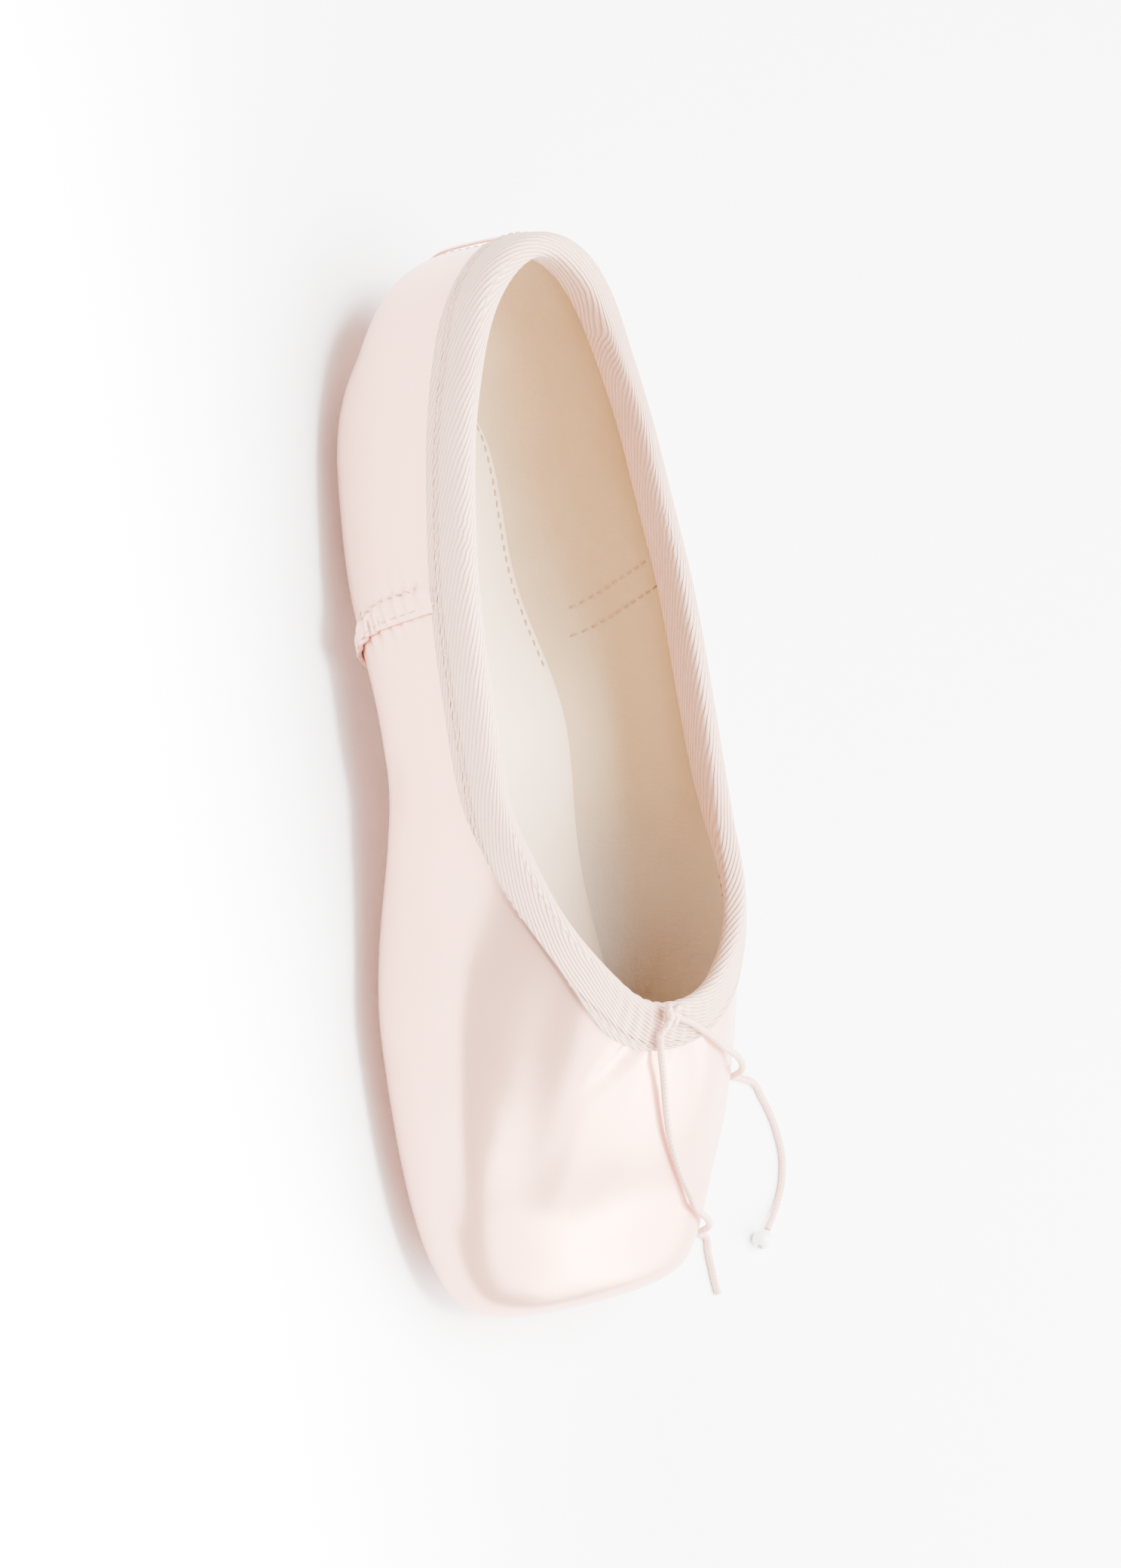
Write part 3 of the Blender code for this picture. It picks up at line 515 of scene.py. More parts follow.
def smoothed(name, shape, levels):
    """Turn a bmesh into a mesh that is rounded by a Subdivision Surface of some levels."""
    mesh = bpy.data.meshes.new(name)
    shape.to_mesh(mesh)
    shape.free()
    holder = bpy.data.objects.new(name + "_holder", mesh)
    bpy.context.scene.collection.objects.link(holder)
    round_off = holder.modifiers.new("round_off", "SUBSURF")
    round_off.levels = levels
    round_off.render_levels = levels
    fine = bpy.data.meshes.new_from_object(holder.evaluated_get(bpy.context.evaluated_depsgraph_get()))
    bpy.data.objects.remove(holder)
    bpy.data.meshes.remove(mesh)
    fine.name = name
    fine.shade_smooth()
    return fine


def triples(items, name):
    """Three numbers of every item in one of a mesh's lists, such as the place of each point."""
    values = np.empty(len(items) * 3)
    items.foreach_get(name, values)
    return values.reshape(-1, 3)


def whole_numbers(items, name):
    """A whole number of every item in one of a mesh's lists, such as the point of each corner."""
    values = np.empty(len(items), dtype=np.int32)
    items.foreach_get(name, values)
    return values


def points_of(mesh):
    """The mesh's points and their outward normals, as two arrays."""
    return triples(mesh.vertices, "co"), triples(mesh.vertices, "normal")


def move_points(mesh, places):
    mesh.vertices.foreach_set("co", places.ravel())
    mesh.update()


def surface_tree(mesh, kind=0):
    """A search tree over the faces of a mesh that wear one of its finishes."""
    faces = [tuple(face.vertices) for face in mesh.polygons if face.material_index == kind]
    return BVHTree.FromPolygons([vertex.co.copy() for vertex in mesh.vertices], faces)


def laid_on(tree, points):
    """The nearest spots on a surface, and the surface's outward directions there."""
    found = [tree.find_nearest(Vector(point)) for point in points]
    return np.array([spot for spot, _, _, _ in found]), np.array([normal for _, normal, _, _ in found])


def shot_at(tree, starts, direction):
    """Where rays from some points first meet a surface; rays that miss are left out."""
    hits = [tree.ray_cast(Vector(start), Vector(direction)) for start in starts]
    hits = [hit for hit in hits if hit[0] is not None]
    return np.array([hit[0] for hit in hits]), np.array([hit[1] for hit in hits])


upper_mesh = smoothed("satin_upper", merged_copy("upper"), 2)
# A line through the middle of the foot: its two ends along Y, and its height in the box and behind it
CORE_ENDS = (-88 * MM, 80 * MM)
CORE_BOX_END = -50 * MM
CORE_HEIGHT_IN_BOX = 21 * MM
CORE_HEIGHT = 30 * MM


def faces_outwards(places, normals):
    """Whether points of the shell lie on its outside: seen from a line through the foot's middle."""
    core = np.zeros_like(places)
    core[:, 1] = np.clip(places[:, 1], *CORE_ENDS)
    core[:, 2] = np.where(places[:, 1] < CORE_BOX_END, CORE_HEIGHT_IN_BOX, CORE_HEIGHT)
    return ((places - core) * normals).sum(axis=1) > 0


lined = ~faces_outwards(triples(upper_mesh.polygons, "center"), triples(upper_mesh.polygons, "normal"))
upper_mesh.polygons.foreach_set("material_index", lined.astype(np.int32))
print("upper: faces", len(upper_mesh.polygons), "lined", int(lined.sum()))

# %% [markdown]
# Stiff satin shows few folds, but those few make it cloth. They run out from the knot, where the
# drawstring gathers the throat, and long hollows lie along the box between its sides and its top.
# Each fold is a line on the surface with a width and a depth, and it fades out at its ends.

# %% Press the creases into the satin
def near_line(points, line):
    """Distance of each point from a line, and how far along it the nearest spot is, 0 to 1."""
    best = np.full(len(points), np.inf)
    where = np.zeros(len(points))
    starts = runs_along(line)
    for start, end, before in zip(line[:-1], line[1:], starts):
        run = end - start
        t = np.clip(((points - start) @ run) / (run @ run), 0, 1)
        gap = np.linalg.norm(points - start - t[:, None] * run, axis=1)
        nearer = gap < best
        best = np.where(nearer, gap, best)
        where = np.where(nearer, (before + t * np.linalg.norm(run)) / starts[-1], where)
    return best, where


def bell(distance, width):
    """1 at a distance of 0, and falling off softly within a width."""
    return np.exp(-(distance / width) ** 2)


def ease(share):
    """A share of 0 to 1 with a soft start and end."""
    return share * share * (3 - 2 * share)


def fold_shift(points, tree, folds):
    """How far folds move some points along their normals, in metres."""
    shift = np.zeros(len(points))
    for line, width, depth, (fade_in, fade_out) in folds:
        laid = laid_on(tree, smooth_line(np.array(line) * MM, 5))[0]
        gap, where = near_line(points, laid)
        ends = np.clip(where / max(fade_in, 0.01), 0, 1) * np.clip((1 - where) / max(fade_out, 0.01), 0, 1)
        shift += depth * MM * bell(gap, width * MM) * ease(ends)
    return shift


# A fold: its line, half width and depth in millimetres (inwards is negative), and the share that fades
# at each end
FOLDS = [
    ([(-7.0, -58.2, 59.1), (-9.9, -61.1, 57.4), (-14.5, -65.0, 54.6), (-18.9, -68.9, 51.6),
      (-22.0, -73.9, 48.0)], 2.2, -1.3, (0.0, 0.75)),
    ([(-4.5, -60.5, 58.4), (-8.5, -66.0, 55.4), (-13.0, -73.0, 51.2)], 2.4, 0.45, (0.0, 0.8)),
    ([(-2.5, -60.0, 58.6), (-0.6, -66.0, 55.6), (1.2, -72.0, 52.4)], 1.5, -1.0, (0.0, 0.8)),
    ([(1.6, -60.6, 58.2), (4.8, -63.4, 56.9)], 2.0, 0.80, (0.1, 0.6)),
    ([(5.5, -59.5, 58.6), (10.5, -66.5, 54.6), (15.0, -75.0, 49.5)], 1.8, -0.8, (0.0, 0.85)),
    ([(-26.0, -34.0, 56.0), (-28.0, -46.0, 53.0), (-30.0, -58.0, 49.0), (-31.0, -72.0, 44.0),
      (-31.0, -88.0, 38.0), (-30.0, -104.0, 31.0)], 7.0, -1.3, (0.25, 0.3)),
    ([(-38.0, -22.0, 40.0), (-41.0, -41.0, 38.0), (-42.0, -60.0, 35.0), (-41.5, -80.0, 31.0),
      (-38.0, -104.0, 25.0)], 6.5, 0.9, (0.25, 0.3)),
    ([(27.0, -34.0, 56.0), (29.0, -48.0, 52.0), (31.0, -62.0, 47.0), (31.0, -80.0, 41.0),
      (30.0, -100.0, 33.0)], 7.0, -1.0, (0.3, 0.4)),
    ([(-40.5, 12.0, 22.0), (-39.5, 2.0, 20.0), (-40.5, -10.0, 18.0)], 4.0, -0.7, (0.4, 0.5)),
    ([(40.5, 12.0, 22.0), (39.5, 2.0, 20.0), (40.5, -10.0, 18.0)], 4.0, -0.7, (0.4, 0.5)),
]

# The front edge of the side seam's fold, in millimetres from the binding down to the sole, and how far
# behind it the puckered row lies
SEAM_FOLD_LINE = [(-34.6, 37.2, 45.7), (-35.9, 33.7, 32.0), (-40.1, 31.0, 23.9), (-38.0, 29.0, 12.0)]
SEAM_ROW_BACK = 7.0 * MM
PUCKER_PITCH = 3.6 * MM
PUCKER_REACH = 3.8 * MM
PUCKER_HEIGHT = 0.45 * MM


def pucker_shift(points, row):
    """How far the pull of a row of stitches moves points in or out."""
    gap, where = near_line(points, row)
    wave = np.sin(where * line_length(row) * 2 * math.pi / PUCKER_PITCH)
    return PUCKER_HEIGHT * wave * bell(gap, PUCKER_REACH)


places, normals = points_of(upper_mesh)
outer = faces_outwards(places, normals)
outer_tree = surface_tree(upper_mesh, 0)
shift = np.zeros(len(places))
shift[outer] = fold_shift(places[outer], outer_tree, FOLDS)
seam_rows = {}
for side in (-1, 1):
    fold_line = np.array(SEAM_FOLD_LINE) * MM * (-side, 1, 1)
    row = laid_on(outer_tree, smooth_line(fold_line + (0, SEAM_ROW_BACK, 0), 6))[0]
    seam_rows[side] = row
    shift += np.where(outer, pucker_shift(places, row), 0)
move_points(upper_mesh, places + normals * shift[:, None])
upper = add_piece("satin_upper", upper_mesh, satin, canvas)
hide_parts("upper")
outer_tree = surface_tree(upper_mesh, 0)
inner_tree = surface_tree(upper_mesh, 1)
print("upper: folds", len(FOLDS), "deepest", round(-shift.min() / MM, 2), "mm")

# %% [markdown]
# The binding is a folded cotton tape with fine slanting ribs. The ribs follow the tape round the
# opening, so it needs a UV map that is measured along the tape and down from its edge, in metres.
# The same map finds the places of its stitches: a small least squares fit turns it round, from a
# place on the tape to a point in space.

# %% Binding
binding_mesh = smoothed("twill_binding", merged_copy("collar_binding"), 3)
places, normals = points_of(binding_mesh)
ROUND_MIDDLE = (0.0, 0.030)
angles = np.arctan2(places[:, 0] - ROUND_MIDDLE[0], places[:, 1] - ROUND_MIDDLE[1])
ring_angles = np.linspace(-math.pi, math.pi, 181)
ridge = []
for angle in ring_angles:
    close = np.abs(np.angle(np.exp(1j * (angles - angle)))) < 0.03
    group = places[close]
    ridge.append(group[group[:, 2] > group[:, 2].max() - 0.6 * MM].mean(axis=0))
ridge = np.array(ridge)
runs = runs_along(ridge)
tape_length = runs[-1]
u = np.interp(angles, ring_angles, runs)
top = np.stack([np.interp(angles, ring_angles, ridge[:, k]) for k in range(3)], axis=1)
reach = np.hypot(places[:, 0] - ROUND_MIDDLE[0], places[:, 1] - ROUND_MIDDLE[1])
top_reach = np.hypot(top[:, 0] - ROUND_MIDDLE[0], top[:, 1] - ROUND_MIDDLE[1])
tape_outer = reach > top_reach
v = np.linalg.norm(places - top, axis=1) * np.where(tape_outer, 1, -1)
layer = binding_mesh.uv_layers.new(name="tape")
corner_points = whole_numbers(binding_mesh.loops, "vertex_index")
corner_u = u[corner_points]
starts = whole_numbers(binding_mesh.polygons, "loop_start")
owner = np.repeat(np.arange(len(starts)), whole_numbers(binding_mesh.polygons, "loop_total"))
highest = np.maximum.reduceat(corner_u, starts)
wraps = highest - np.minimum.reduceat(corner_u, starts) > tape_length / 2
corner_u = np.where(wraps[owner] & (corner_u < tape_length / 2), corner_u + tape_length, corner_u)
layer.data.foreach_set("uv", np.stack([corner_u, v[corner_points]], axis=1).ravel())
print("binding: tape", round(tape_length, 3), "m long")

# %% [markdown]
# At the knot the drawstring draws the tape together. It dips there and ripples to both sides, less
# and less with the distance from the knot.

# %% Gathers and stitches of the binding
KNOT_RUN = 5.0 * MM
GATHER_PITCH = 3.4 * MM
GATHER_REACH = 11 * MM
GATHER_HEIGHT = 0.50 * MM
PINCH_DEPTH = 0.7 * MM
PINCH_REACH = 3.0 * MM
PINCH_DROP = 3.5 * MM
TAPE_WIDTH = 10 * MM
from_knot = np.minimum(np.abs(u - KNOT_RUN), tape_length - np.abs(u - KNOT_RUN))
ripple = GATHER_HEIGHT * np.cos(from_knot * 2 * math.pi / GATHER_PITCH) * bell(from_knot, GATHER_REACH)
outside = np.clip(v / (2 * MM), 0, 1) * np.clip((TAPE_WIDTH - v) / (3 * MM), 0, 1)
ripple *= np.where(tape_outer, outside, 0.3)
pinch = -PINCH_DEPTH * bell(from_knot, PINCH_REACH) * bell(v, PINCH_DROP)
move_points(binding_mesh, places + normals * ripple[:, None] + np.array([0, 0, 1.0]) * pinch[:, None])
places, normals = points_of(binding_mesh)


def spots_on_tape(run, down, reach=1.6 * MM):
    """Points and outward directions at places that are measured along the tape and down its outside."""
    spots, facing = [], []
    for u0, v0 in zip(run, down):
        along = (u - u0 + tape_length / 2) % tape_length - tape_length / 2
        aside = v - v0
        near = (np.abs(along) < 3 * reach) & (np.abs(aside) < 2 * reach) & (tape_outer == (v0 > 0))
        if near.sum() < 8:
            continue
        weight = np.exp(-(along[near] ** 2 + aside[near] ** 2) / reach ** 2)[:, None]
        sums = np.stack([np.ones(near.sum()), along[near], aside[near]], axis=1)
        fitted = np.linalg.lstsq(sums * weight, places[near] * weight, rcond=None)[0]
        spots.append(fitted[0])
        facing.append((normals[near] * weight).sum(axis=0))
    facing = np.array(facing)
    return np.array(spots), facing / np.linalg.norm(facing, axis=1)[:, None]


HEM = 8.6 * MM
row_runs = np.linspace(8 * MM, tape_length - 8 * MM, 200)
row_spots, row_facing = spots_on_tape(row_runs, np.full(len(row_runs), HEM))
binding_tree = surface_tree(binding_mesh)
row_spots = laid_on(binding_tree, row_spots)[0]
hem_stitches = stitch_row("binding_stitches", row_spots, row_facing, "hem", thread)

twill, tree, shader, spot = new_material("cotton_twill", TAPE_COLOUR, 0.85, 0.25)
shader.inputs["Sheen Weight"].default_value = 0.25
shader.inputs["Sheen Roughness"].default_value = 0.5
flat = tree.nodes.new("ShaderNodeTexCoord").outputs["UV"]
split = place(tree, "ShaderNodeSeparateXYZ", {0: flat})
RIB_PITCH = 0.85 * MM
RIB_SLANT = math.radians(17)
GROOVE_SHADE_SHARE = 0.42
lean = math_node(tree, "MULTIPLY", split.outputs[0], 2 * math.pi / RIB_PITCH * math.sin(RIB_SLANT))
fall = math_node(tree, "MULTIPLY", split.outputs[1], 2 * math.pi / RIB_PITCH * math.cos(RIB_SLANT))
wander = math_node(tree, "MULTIPLY", noise(tree, spot, 120.0, 1.0), 3.0)
ribs = math_node(tree, "SINE", math_node(tree, "ADD", math_node(tree, "ADD", lean, fall), wander))
rib_mask = ramp_between(tree, ribs, -1.0, 0.5)
hem_line = math_node(tree, "ABSOLUTE", math_node(tree, "SUBTRACT", split.outputs[1], HEM))
hem_dip = ramp_between(tree, hem_line, 0.2 * MM, 0.9 * MM)
dyed = dye(tree, shader, spot, TAPE_COLOUR, TAPE_SHADE, 30.0, 0.5)
# The grooves between the ribs and the dip of the hem line are painted a darker colour: painted shade in
# these hollows.
between = math_node(tree, "SUBTRACT", 1.0, math_node(tree, "MULTIPLY", rib_mask, hem_dip))
groove_shaded = blend(tree, math_node(tree, "MULTIPLY", between, GROOVE_SHADE_SHARE), dyed, (*PAINTED_GROOVE_SHADE, 1))
tree.links.new(groove_shaded, shader.inputs["Base Color"])
first = add_bump(tree, shader, rib_mask, 0.30 * MM, 0.9)
second = add_bump(tree, shader, hem_dip, 0.40 * MM, 0.8, under=first)
add_bump(tree, shader, noise(tree, spot, 1500.0), 0.1 * MM, 0.4, under=second)
binding = add_piece("twill_binding", binding_mesh, twill)
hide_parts("collar_binding")
print("binding: stitches along", round(line_length(row_spots), 3), "m")

# %% [markdown]
# The side seams join the vamp to the back part. The vamp's edge is folded under and lies on top, so
# there is a step with a thin shadow, and a puckered row of stitches a few millimetres behind it. Inside,
# the lining is joined at the same place with two rows.

# %% Side seams
SINK_START = 4.5 * MM
SINK_RUN = 3.5 * MM
SINK_DEPTH = 0.15 * MM
TUCK = 2.0 * MM
TUCK_RUN = 4.0 * MM
SEAM_ROWS = {"edge": 1.5 * MM, "back": 6.2 * MM}
LINING_ROWS = {"front": 2.0 * MM, "rear": 8.5 * MM}
for node, name in (("side_seam_right", "seam_right"), ("side_seam_left", "seam_left")):
    box_low, box_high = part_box(node)
    side = -1 if box_high[0] < 0 else 1
    strip_mesh = smoothed(name, keep_corners(merged_copy(node)), 3)
    strip_places, _ = points_of(strip_mesh)
    levels = np.linspace(box_low[2] + 3 * MM, box_high[2] - 2 * MM, 26)
    fronts = [strip_places[np.abs(strip_places[:, 2] - level) < 1.3 * MM, 1].min() for level in levels]
    under, outwards = laid_on(outer_tree, strip_places)
    height = ((strip_places - under) * outwards).sum(axis=1)
    behind = strip_places[:, 1] - np.interp(strip_places[:, 2], levels, fronts)
    sink = np.clip((behind - SINK_START) / SINK_RUN, 0, 1)
    shift = pucker_shift(strip_places, seam_rows[side]) - ease(sink) * (height + SINK_DEPTH)
    tucked = TUCK * np.clip(1 - (box_high[2] - strip_places[:, 2]) / TUCK_RUN, 0, 1)
    moved = strip_places + outwards * shift[:, None] + np.array([0, 0, 1.0]) * tucked[:, None]
    move_points(strip_mesh, moved)
    strip = add_piece(name, strip_mesh, satin)
    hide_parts(node)
    strip_places, _ = points_of(strip_mesh)
    strip_tree = surface_tree(strip_mesh)
    for label, offset in SEAM_ROWS.items():
        guide = [(side * 0.09, front + offset, level) for front, level in zip(fronts, levels)]
        spots, facing = shot_at(strip_tree, guide, (-side, 0, 0))
        stitches = stitch_row(f"{name}_{label}_stitches", spots, facing, "seam_" + label, thread)
    inside = [(0, 31 * MM + 0.28 * (level - 24 * MM), level) for level in np.linspace(14 * MM, 43 * MM, 24)]
    for label, offset in LINING_ROWS.items():
        starts_at = [(x, y + offset, z) for x, y, z in inside]
        spots, facing = shot_at(inner_tree, starts_at, (side, 0, 0))
        stitches = stitch_row(f"lining_{label}_{name[5:]}", spots, facing, "lining", lining_thread)
print("side seams: two, with", len(levels), "guide points each")

# %% [markdown]
# A thin roll of satin runs down the middle of the heel. It stands over the seam that closes the back,
# and a row of small stitches follows it on both sides.

# %% Heel piping
piping_mesh = smoothed("heel_piping", merged_copy("back_seam"), 2)
piping = add_piece("heel_piping", piping_mesh, satin)
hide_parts("back_seam")
heel_low, heel_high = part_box("back_seam")
for side, name in ((-1, "right"), (1, "left")):
    levels = np.linspace(heel_low[2] + 4 * MM, heel_high[2] - 3 * MM, 30)
    spots, facing = shot_at(outer_tree, [(side * 2.4 * MM, 0.16, level) for level in levels], (0, -1, 0))
    stitches = stitch_row(f"heel_stitches_{name}", spots, facing, "heel", thread)
print("heel piping: height", round((heel_high[2] - heel_low[2]) / MM, 1), "mm")

# %% [markdown]
# Under the platform a satin panel closes the toe. It is sewn on along both sides by hand, so its
# stitches are a little longer and lean.

# %% Toe panel
panel_mesh = smoothed("toe_panel", merged_copy("toe_patch"), 2)
panel = add_piece("toe_panel", panel_mesh, satin)
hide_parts("toe_patch")
panel_places, _ = points_of(panel_mesh)
panel_tree = surface_tree(panel_mesh)
panel_low, panel_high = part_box("toe_patch")
for side, name in ((-1, "right"), (1, "left")):
    starts_at = []
    for y in np.linspace(panel_low[1] + 3 * MM, panel_high[1] - 2 * MM, 24):
        band = panel_places[np.abs(panel_places[:, 1] - y) < 1.2 * MM]
        starts_at.append((side * (band[:, 0].max() - 1.3 * MM), y, -0.02))
    spots, facing = shot_at(panel_tree, starts_at, (0, 0, 1))
    stitches = stitch_row(f"panel_stitches_{name}", spots, facing, "toe", thread)
print("toe panel: stitched along both sides")

# %% [markdown]
# The sock is the pale cotton sole inside the shoe. It is cut a little smaller than the bottom, and a
# tan thread holds it down along both edges of its rear half.

# %% Sock
sock_mesh = smoothed("sock", merged_copy("insole"), 2)
sock_cotton, tree, shader, spot = new_material("sock_cotton", SOCK_COLOUR, 0.85, 0.25)
dye(tree, shader, spot, SOCK_COLOUR, SOCK_SHADE, 18.0, 0.55)
add_bump(tree, shader, weave(tree, spot, 1400.0, 600.0, 0.5), 0.25 * MM, 0.5)
sock = add_piece("sock", sock_mesh, sock_cotton)
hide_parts("insole")
sock_places, _ = points_of(sock_mesh)
sock_tree = surface_tree(sock_mesh)
for side, name in ((-1, "right"), (1, "left")):
    starts_at = []
    for y in np.linspace(90 * MM, 22 * MM, 34):
        band = sock_places[np.abs(sock_places[:, 1] - y) < 1.5 * MM]
        starts_at.append((side * max(band[:, 0].max() - 1.8 * MM, 1 * MM), y, 0.04))
    spots, facing = shot_at(sock_tree, starts_at, (0, 0, -1))
    stitches = stitch_row(f"sock_stitches_{name}", spots, facing, "sock", lining_thread)
print("sock: stitched down along its rear half")

# %% [markdown]
# The outsole is one piece of thin suede leather. Its holes, lines and crosshatch are pressed in, and
# they follow its outline, so its UV map holds the run along the outline and the distance from it.

# %% Leather outsole
sole_mesh = smoothed("leather_sole", merged_copy("outsole"), 3)
places, _ = points_of(sole_mesh)
sole_low, sole_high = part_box("outsole")
rows = np.linspace(sole_low[1], sole_high[1], 150)
half_widths = []
for y in rows:
    band = places[np.abs(places[:, 1] - y) < 1.0 * MM]
    half_widths.append(band[:, 0].max() if len(band) else 0.0)
half_widths[0] = half_widths[-1] = 0.0
outline = np.array([(x, y, 0) for x, y in zip(half_widths, rows)]
                   + [(-x, y, 0) for x, y in zip(half_widths[::-1], rows[::-1])])
outline_length = line_length(outline)
from_edge, share_run = near_line(places * (1, 1, 0), outline)
layer = sole_mesh.uv_layers.new(name="outline")
corner_points = whole_numbers(sole_mesh.loops, "vertex_index")
marked_out = np.stack([share_run * outline_length, from_edge], axis=1)
layer.data.foreach_set("uv", marked_out[corner_points].ravel())
print("outsole: outline", round(outline_length, 3), "m, faces", len(sole_mesh.polygons))

# %% Suede with pressed marks
suede, tree, shader, spot = new_material("sole_suede", SUEDE_COLOUR, 0.92, 0.15)
flat = tree.nodes.new("ShaderNodeTexCoord").outputs["UV"]
run, inwards, _ = place(tree, "ShaderNodeSeparateXYZ", {0: flat}).outputs
across, lengthways, _ = place(tree, "ShaderNodeSeparateXYZ", {0: spot}).outputs
HOLE_PITCH = 4.1 * MM
HOLE_INSET = 4.4 * MM
HOLE_RADIUS_SOLE = 0.75 * MM
in_pitch = math_node(tree, "FRACT", math_node(tree, "DIVIDE", run, HOLE_PITCH))
off_hole = math_node(tree, "MULTIPLY", math_node(tree, "SUBTRACT", in_pitch, 0.5), HOLE_PITCH)
off_line = math_node(tree, "SUBTRACT", inwards, HOLE_INSET)
squares = math_node(tree, "ADD", math_node(tree, "MULTIPLY", off_hole, off_hole),
                    math_node(tree, "MULTIPLY", off_line, off_line))
holes = ramp_between(tree, math_node(tree, "SQRT", squares), HOLE_RADIUS_SOLE, 0.5 * HOLE_RADIUS_SOLE)
channel = ramp_between(tree, math_node(tree, "ABSOLUTE", off_line), 1.0 * MM, 0.2 * MM)
HATCH_PITCH = 4.6 * MM
HATCH_TURN = math.radians(40)
one = math_node(tree, "MULTIPLY", across, math.cos(HATCH_TURN) / HATCH_PITCH)
other = math_node(tree, "MULTIPLY", lengthways, math.sin(HATCH_TURN) / HATCH_PITCH)
hatch = None
for operation in ("ADD", "SUBTRACT"):
    stripe = math_node(tree, "FRACT", math_node(tree, operation, one, other))
    gap = math_node(tree, "ABSOLUTE", math_node(tree, "SUBTRACT", stripe, 0.5))
    line = ramp_between(tree, gap, 0.12, 0.04)
    hatch = line if hatch is None else math_node(tree, "MAXIMUM", hatch, line)
# Two lines run forward from an apex under the waist, and the crosshatch fills the forefoot between them
APEX = 2 * MM
SPREAD = 0.72
half = math_node(tree, "MULTIPLY", math_node(tree, "SUBTRACT", APEX, lengthways), SPREAD)
to_line = math_node(tree, "SUBTRACT", math_node(tree, "ABSOLUTE", across), half)
within = ramp_between(tree, to_line, -0.5 * MM, -1.2 * MM)
forward = ramp_between(tree, lengthways, -24 * MM, -26 * MM)
inside_edge = ramp_between(tree, inwards, 7.5 * MM, 8.5 * MM)
hatch = math_node(tree, "MULTIPLY", math_node(tree, "MULTIPLY", hatch, within),
                  math_node(tree, "MULTIPLY", forward, inside_edge))
sides = ramp_between(tree, math_node(tree, "ABSOLUTE", to_line), 0.8 * MM, 0.3 * MM)
sides = math_node(tree, "MULTIPLY", math_node(tree, "MULTIPLY", sides, inside_edge),
                  ramp_between(tree, lengthways, -40 * MM, -38 * MM))
loop = ramp_between(tree, math_node(tree, "ABSOLUTE", math_node(tree, "SUBTRACT", inwards, 8.0 * MM)),
                    0.7 * MM, 0.25 * MM)
loop = math_node(tree, "MULTIPLY", loop, ramp_between(tree, lengthways, 30 * MM, 33 * MM))
marks = math_node(tree, "MAXIMUM", math_node(tree, "MAXIMUM", hatch, sides), loop)
dyed = dye(tree, shader, spot, SUEDE_COLOUR, SUEDE_SHADE, 40.0, 0.8)
edged = blend(tree, ramp_between(tree, inwards, 0.9 * MM, 0.2 * MM), dyed, (*SUEDE_EDGE, 1))
marked = blend(tree, math_node(tree, "MULTIPLY", marks, 0.65), edged, (*SUEDE_MARK, 1))
# The stitch holes are painted near black: painted shade inside the holes.
tree.links.new(blend(tree, holes, marked, (*SUEDE_HOLE_PAINTED_SHADE, 1)), shader.inputs["Base Color"])
low = math_node(tree, "MAXIMUM", math_node(tree, "MULTIPLY", marks, 0.5),
                math_node(tree, "MAXIMUM", holes, math_node(tree, "MULTIPLY", channel, 0.3)))
first = add_bump(tree, shader, math_node(tree, "SUBTRACT", 1.0, low), 0.8 * MM, 1.0)
add_bump(tree, shader, noise(tree, spot, 900.0, 4.0, 0.7), 0.25 * MM, 0.7, under=first)
sole = add_piece("leather_sole", sole_mesh, suede)
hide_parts("outsole")
print("suede: holes every", HOLE_PITCH / MM, "mm")

# %% [markdown]
# Satin shows its lights as streaks, so each light is placed for its reflection. A pool of light on the
# floor comes back as the long streak on the near wall, and the dim sky above it as the darker band.
# Three soft boxes ahead of the toe make the light face of the vamp, and a large one overhead lights
# the lining and the floor.

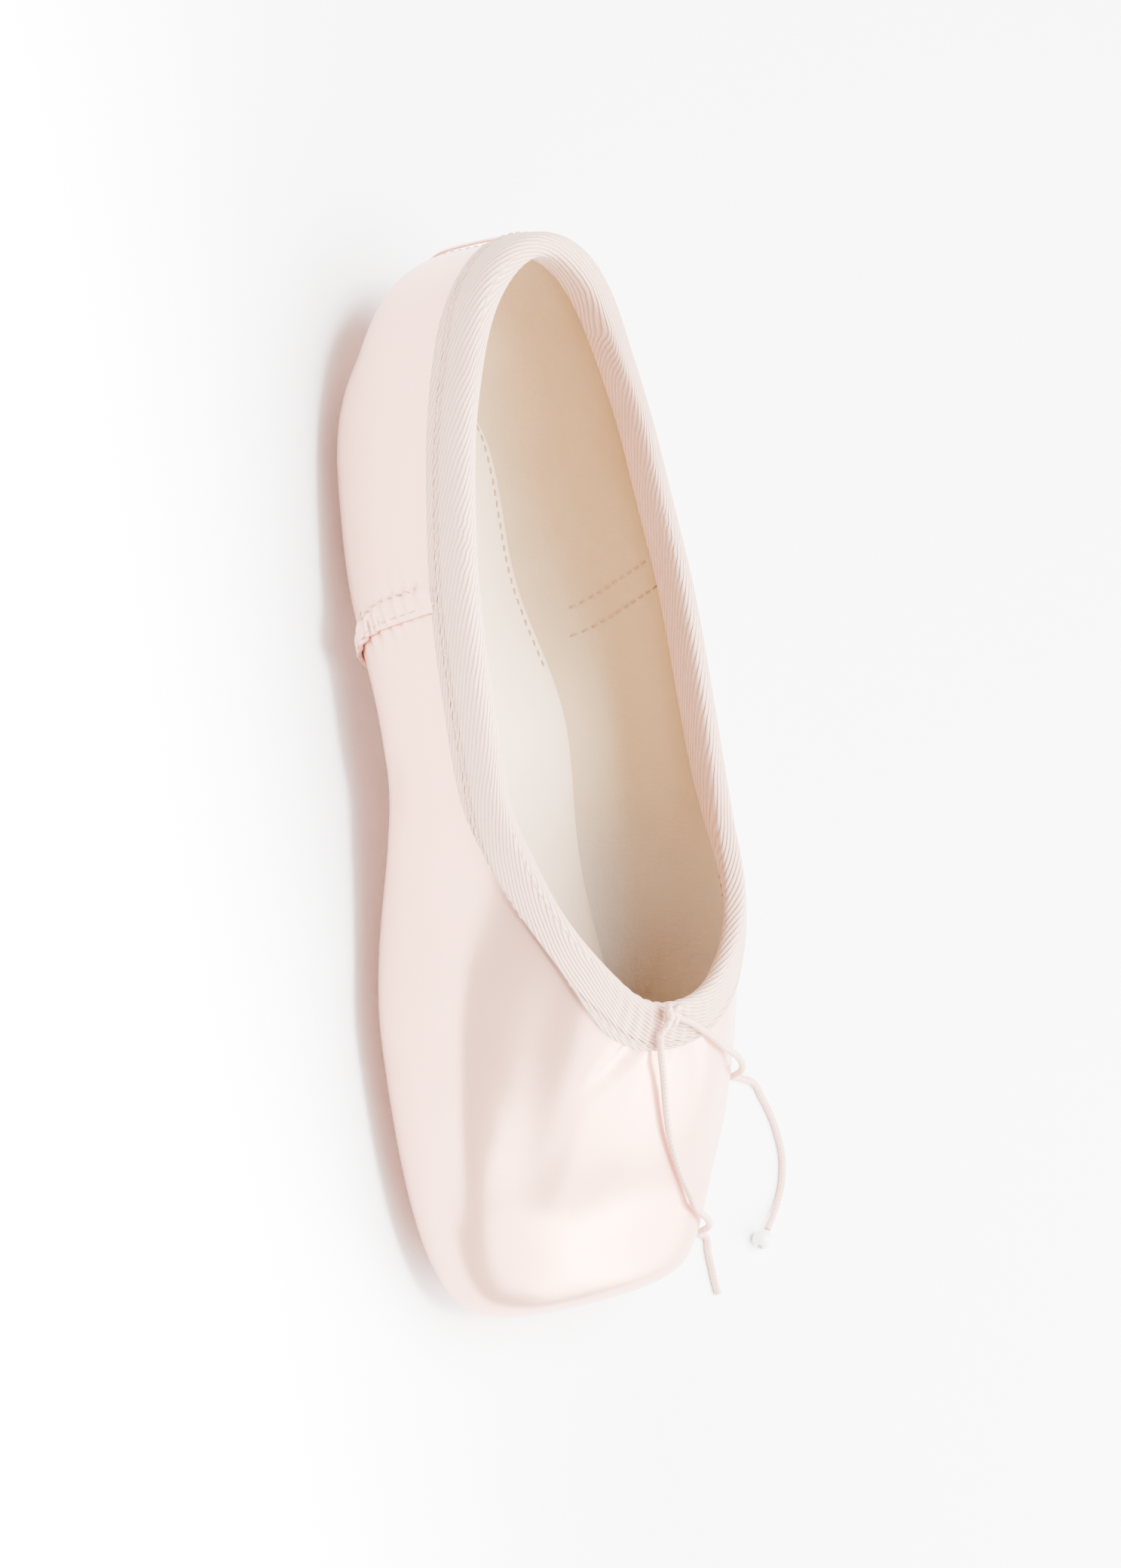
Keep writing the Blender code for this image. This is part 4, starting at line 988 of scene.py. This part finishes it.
# %% Floor, light and sky
FLOOR_SIZE = 2.0
FLOOR_COLOUR = (0.93, 0.93, 0.93)
SKY_COLOUR = (1.0, 0.99, 0.98)
SKY_STRENGTH = 0.45
VAMP_MIDDLE = (0, -0.06, 0.03)
# A light: its place, the point that it faces, its width, height, power in watts and spread in degrees
LIGHTS = {
    "floor_pool": ((-0.21, -0.03, 0.60), (-0.21, -0.03, 0.0), 0.18, 0.55, 10.0, 30),
    "toe_box": ((0.75, -0.52, 0.56), VAMP_MIDDLE, 0.7, 1.0, 42.0, 180),
    "front_box": ((0.10, -0.74, 0.78), VAMP_MIDDLE, 1.0, 0.6, 20.0, 180),
    "vamp_box": ((0.46, -0.78, 0.50), VAMP_MIDDLE, 0.5, 0.5, 9.0, 180),
    "top_box": ((0.10, 0.10, 1.05), (-0.05, 0, 0.03), 0.75, 1.2, 88.0, 180),
}
ground = bmesh.new()
bmesh.ops.create_grid(ground, x_segments=1, y_segments=1, size=FLOOR_SIZE)
mesh = bpy.data.meshes.new("floor")
ground.to_mesh(mesh)
ground.free()
floor = bpy.data.objects.new("floor", mesh)
bpy.context.scene.collection.objects.link(floor)
mesh.materials.append(new_material("pale_floor", FLOOR_COLOUR, 0.9, 0.1)[0])


def soft_box(name, place_at, look_at, width, height, power, spread):
    """A rectangular studio light at a place, turned to look at a point; a grid narrows its spread."""
    light = bpy.data.lights.new(name, "AREA")
    light.shape = "RECTANGLE"
    light.size = width
    light.size_y = height
    light.energy = power
    light.spread = math.radians(spread)
    lamp = bpy.data.objects.new(name, light)
    direction = Vector(look_at) - Vector(place_at)
    facing = direction.to_track_quat("-Z", "Y").to_matrix().to_4x4()
    lamp.matrix_world = Matrix.Translation(place_at) @ facing
    bpy.context.scene.collection.objects.link(lamp)


for name, settings in LIGHTS.items():
    soft_box(name, *settings)
sky = bpy.data.worlds.new("studio")
sky.use_nodes = True
background = sky.node_tree.nodes["Background"]
background.inputs["Color"].default_value = (*SKY_COLOUR, 1)
background.inputs["Strength"].default_value = SKY_STRENGTH
bpy.context.scene.world = sky
print("lights:", list(LIGHTS), "and a dim sky")
